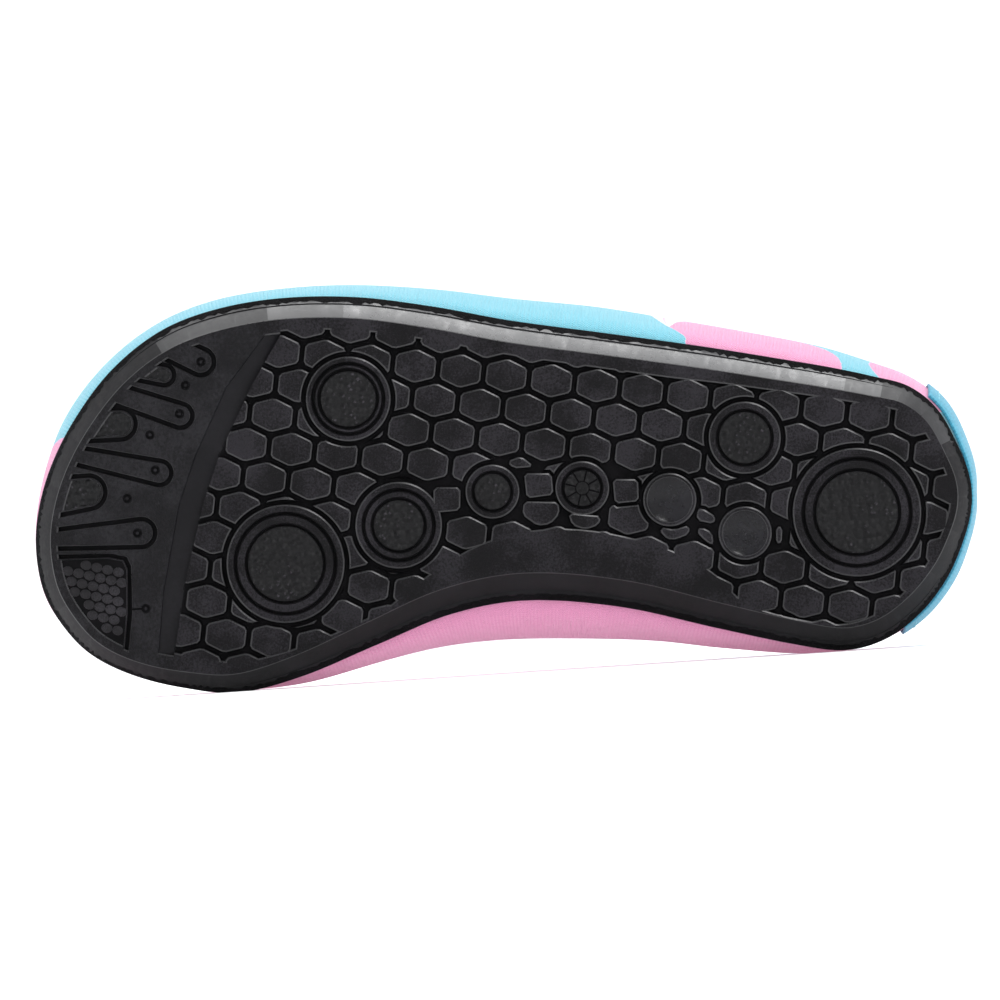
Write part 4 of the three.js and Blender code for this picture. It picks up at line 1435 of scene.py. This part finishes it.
def cloth_plain(name, colour, low, roughness, width, height, depth, loops=1.0):
    """A plain knit or woven cloth of one dye: matt, with its loops and a slight mottle."""
    made, tree, shader = material(name)
    at = millimetres(tree).outputs["Vector"]
    uv = add(tree, "ShaderNodeUVMap", uv_map="fabric").outputs["UV"]
    weave = knit_bump(tree, uv, width, height)
    fine = add(tree, "ShaderNodeTexNoise", {"Vector": at, "Scale": 1.8, "Detail": 5,
                                           "Roughness": 0.65})
    spread = maths(tree, "MULTIPLY", fine.outputs["Fac"], 1 - loops / 2)
    both = maths(tree, "MULTIPLY_ADD", weave, loops / 2, spread)
    normal = bump(tree, fine.outputs["Fac"], depth * 0.8, 1.0, bump(tree, weave, depth))
    wire(tree, shader, {
        "Base Color": ramp(tree, both, [(0.25, linear(low)), (0.62, linear(colour))]),
        "Roughness": roughness, "Sheen Weight": 0.2, "Normal": normal})
    return made


def thread(name, colour):
    """Polyester sewing thread: smooth, slightly glossy, with its twist."""
    made, tree, shader = material(name)
    at = millimetres(tree).outputs["Vector"]
    twist = add(tree, "ShaderNodeTexWave", {"Vector": at, "Scale": 2.2, "Distortion": 1.0})
    base = linear(colour)
    stops = [(0.0, [0.7 * v for v in base]), (1.0, base)]
    wire(tree, shader, {"Base Color": ramp(tree, twist.outputs["Fac"], stops), "Roughness": 0.5,
                        "Normal": bump(tree, twist.outputs["Fac"], 0.08)})
    return made


def paper(name, colour):
    """Seamless photographic paper: matt, almost white."""
    made, tree, shader = material(name)
    at = add(tree, "ShaderNodeTexCoord")
    fine = add(tree, "ShaderNodeTexNoise", {"Vector": at.outputs["Object"], "Scale": 40.0})
    base = linear(colour)
    stops = [(0.0, [0.985 * v for v in base]), (1.0, base)]
    wire(tree, shader, {"Base Color": ramp(tree, fine.outputs["Fac"], stops), "Roughness": 0.9,
                        "Specular IOR Level": 0.1, "Emission Color": base,
                        "Emission Strength": 0.3})
    return made


# Stage, lights and camera
PHOTO_WIDTH = 212.99
PHOTO_CENTRE = (100.76, 6.98, 0.0)
PHOTO_LEAN = math.asin(0.0565)
CAMERA_AWAY = 2200.0
SENSOR_WIDTH = 36
# Softboxes, in metres: name, place, width and height, and radiance
LIGHTS = [
    ("strip_softbox", (0.0, 0.32, 0.97), (1.4, 0.3), 5.6),
    ("key_softbox", (0.53, -0.99, 1.14), (0.45, 0.45), 12.0),
]
ROOM_COLOUR = "#F4F6F8"
ROOM_BRIGHTNESS = 0.95


def build_backdrop():
    """A round sheet of paper that curves up into a wall, 4 m away."""
    bm = bmesh.new()
    profile = [(0.02, 0.0), (3.0, 0.0)]
    for k in range(1, 9):
        turn = k * math.pi / 16
        profile.append((3 + math.sin(turn), 1 - math.cos(turn)))
    profile.append((4.0, 3.0))
    corners = [bm.verts.new((r, 0, z)) for r, z in profile]
    edges = [bm.edges.new(pair) for pair in zip(corners, corners[1:])]
    bmesh.ops.spin(bm, geom=corners + edges, cent=(0, 0, 0), axis=(0, 0, 1), angle=2 * math.pi,
                   steps=96, use_merge=True)
    middle = [e for e in bm.edges if e.is_boundary and e.calc_length() < 0.01]
    bmesh.ops.holes_fill(bm, edges=middle)
    bmesh.ops.recalc_face_normals(bm, faces=bm.faces)
    obj = finished(bm, "paper_backdrop", [paper("seamless_paper", "#F6F6F7")], 60, row=False)


def softbox(name, place, size, radiance):
    """A rectangular softbox that faces the shoe, as bright as its radiance says."""
    data = bpy.data.lights.new(name, "AREA")
    data.shape = "RECTANGLE"
    data.size, data.size_y = size
    data.energy = radiance * math.pi * size[0] * size[1]
    obj = bpy.data.objects.new(name, data)
    bpy.context.scene.collection.objects.link(obj)
    obj.location = place
    obj.rotation_euler = Vector(place).to_track_quat("Z", "Y").to_euler()
    obj.visible_camera = False


def build_lights():
    """A long softbox above, a small one in front to the heel's side, in an even pale room."""
    for light in LIGHTS:
        softbox(*light)
    world = bpy.data.worlds.new("studio")
    bpy.context.scene.world = world
    world.use_nodes = True
    background = world.node_tree.nodes["Background"]
    background.inputs["Color"].default_value = linear(ROOM_COLOUR)
    background.inputs["Strength"].default_value = ROOM_BRIGHTNESS
    bpy.context.scene.view_settings.view_transform = "Standard"


def build_camera():
    """Straight at the tread, as in the photograph, and far enough away to keep sides parallel."""
    turn = LAID.to_3x3()
    along, across, up = turn @ Vector((1, 0, 0)), turn @ Vector((0, 1, 0)), turn @ Vector((0, 0, 1))
    right = -along * math.cos(PHOTO_LEAN) - across * math.sin(PHOTO_LEAN)
    top = across * math.cos(PHOTO_LEAN) - along * math.sin(PHOTO_LEAN)
    back = -up
    data = bpy.data.cameras.new("photo_camera")
    data.sensor_width = SENSOR_WIDTH
    data.lens = SENSOR_WIDTH * CAMERA_AWAY / PHOTO_WIDTH
    data.clip_start, data.clip_end = 0.05, 20
    camera = bpy.data.objects.new("photo_camera", data)
    place = TO_ROW @ Vector(PHOTO_CENTRE) + back * CAMERA_AWAY * MILLIMETRE
    matrix = Matrix((right, top, back)).transposed().to_4x4()
    matrix.translation = place
    camera.matrix_world = matrix
    bpy.context.scene.collection.objects.link(camera)
    bpy.context.scene.camera = camera


# Settings, operators and panel

def colour_property(name, description, colour):
    return bpy.props.FloatVectorProperty(name=name, description=description, subtype="COLOR",
                                         size=3, min=0, max=1, default=linear(colour)[:3])


class ShoeSettings(bpy.types.PropertyGroup):
    blue: colour_property("Blue", "Blue of the printed knit", "#77C7DA")
    pink: colour_property("Pink", "Pink of the printed knit", "#F09DC6")
    white: colour_property("White", "White edges of the print", "#F4F7F8")
    pale_pink: colour_property("Pale pink", "Thin line inside the white edges", "#F3C9DD")


class SHOE_OT_outsole(bpy.types.Operator):
    """Moulded rubber outsole with its tread"""
    bl_idname = "shoe.outsole"
    bl_label = "Outsole"

    def execute(self, context):
        build_outsole(outsole_materials())
        return {"FINISHED"}


class SHOE_OT_upper(bpy.types.Operator):
    """Printed knit upper with its lining and creases"""
    bl_idname = "shoe.upper"
    bl_label = "Upper"

    def execute(self, context):
        settings = context.scene.shoe_settings
        lining = cloth_plain("brushed_lining_knit", "#E6E9EC", "#C9CDD2", 0.9, 1.1, 0.9, 0.12)
        build_upper([knit_printed(settings), lining])
        return {"FINISHED"}


class SHOE_OT_collar(bpy.types.Operator):
    """Turned hem round the collar, with its two rows of stitches"""
    bl_idname = "shoe.collar"
    bl_label = "Collar hem"

    def execute(self, context):
        hem = cloth_plain("elastic_hem_knit", "#63C0D9", "#3F9DB8", 0.8, 1.3, 1.0, 0.18)
        build_collar(hem, thread("pale_thread", "#DDF2F7"))
        return {"FINISHED"}


class SHOE_OT_heel_patch(bpy.types.Operator):
    """Blue cloth patch over the heel, stitched down at its front edges"""
    bl_idname = "shoe.heel_patch"
    bl_label = "Heel patch"

    def execute(self, context):
        cloth = cloth_plain("heel_patch_cloth", "#419FBA", "#2B7288", 0.8, 0.9, 0.7, 0.04,
                            loops=0.3)
        build_heel_patch(cloth, thread("blue_thread", "#8FD6E6"))
        return {"FINISHED"}


class SHOE_OT_insole(bpy.types.Operator):
    """Foam insole with its cloth top"""
    bl_idname = "shoe.insole"
    bl_label = "Insole"

    def execute(self, context):
        build_insole([cloth_plain("insole_top_cloth", "#4A4A52", "#2C2C32", 0.9, 1.4, 1.4, 0.2)])
        return {"FINISHED"}


class SHOE_OT_stage(bpy.types.Operator):
    """Paper backdrop, soft lights and the photograph's camera"""
    bl_idname = "shoe.stage"
    bl_label = "Stage"

    def execute(self, context):
        build_backdrop()
        build_lights()
        build_camera()
        return {"FINISHED"}


class SHOE_PT_panel(bpy.types.Panel):
    bl_label = "Water shoe"
    bl_idname = "SHOE_PT_panel"
    bl_space_type = "VIEW_3D"
    bl_region_type = "UI"
    bl_category = "Shoe"

    def draw(self, context):
        for operator in OPERATORS:
            self.layout.operator(operator.bl_idname)
        for name in ("blue", "pink", "white", "pale_pink"):
            self.layout.prop(context.scene.shoe_settings, name)


OPERATORS = (SHOE_OT_outsole, SHOE_OT_upper, SHOE_OT_collar, SHOE_OT_heel_patch, SHOE_OT_insole,
             SHOE_OT_stage)
CLASSES = (ShoeSettings, *OPERATORS, SHOE_PT_panel)


def register():
    for cls in CLASSES:
        bpy.utils.register_class(cls)
    bpy.types.Scene.shoe_settings = bpy.props.PointerProperty(type=ShoeSettings)


def unregister():
    del bpy.types.Scene.shoe_settings
    for cls in reversed(CLASSES):
        bpy.utils.unregister_class(cls)


def main():
    register()
    bpy.ops.shoe.outsole()
    bpy.ops.shoe.upper()
    bpy.ops.shoe.collar()
    bpy.ops.shoe.heel_patch()
    bpy.ops.shoe.insole()
    bpy.ops.shoe.stage()


if __name__ == "__main__":
    main()
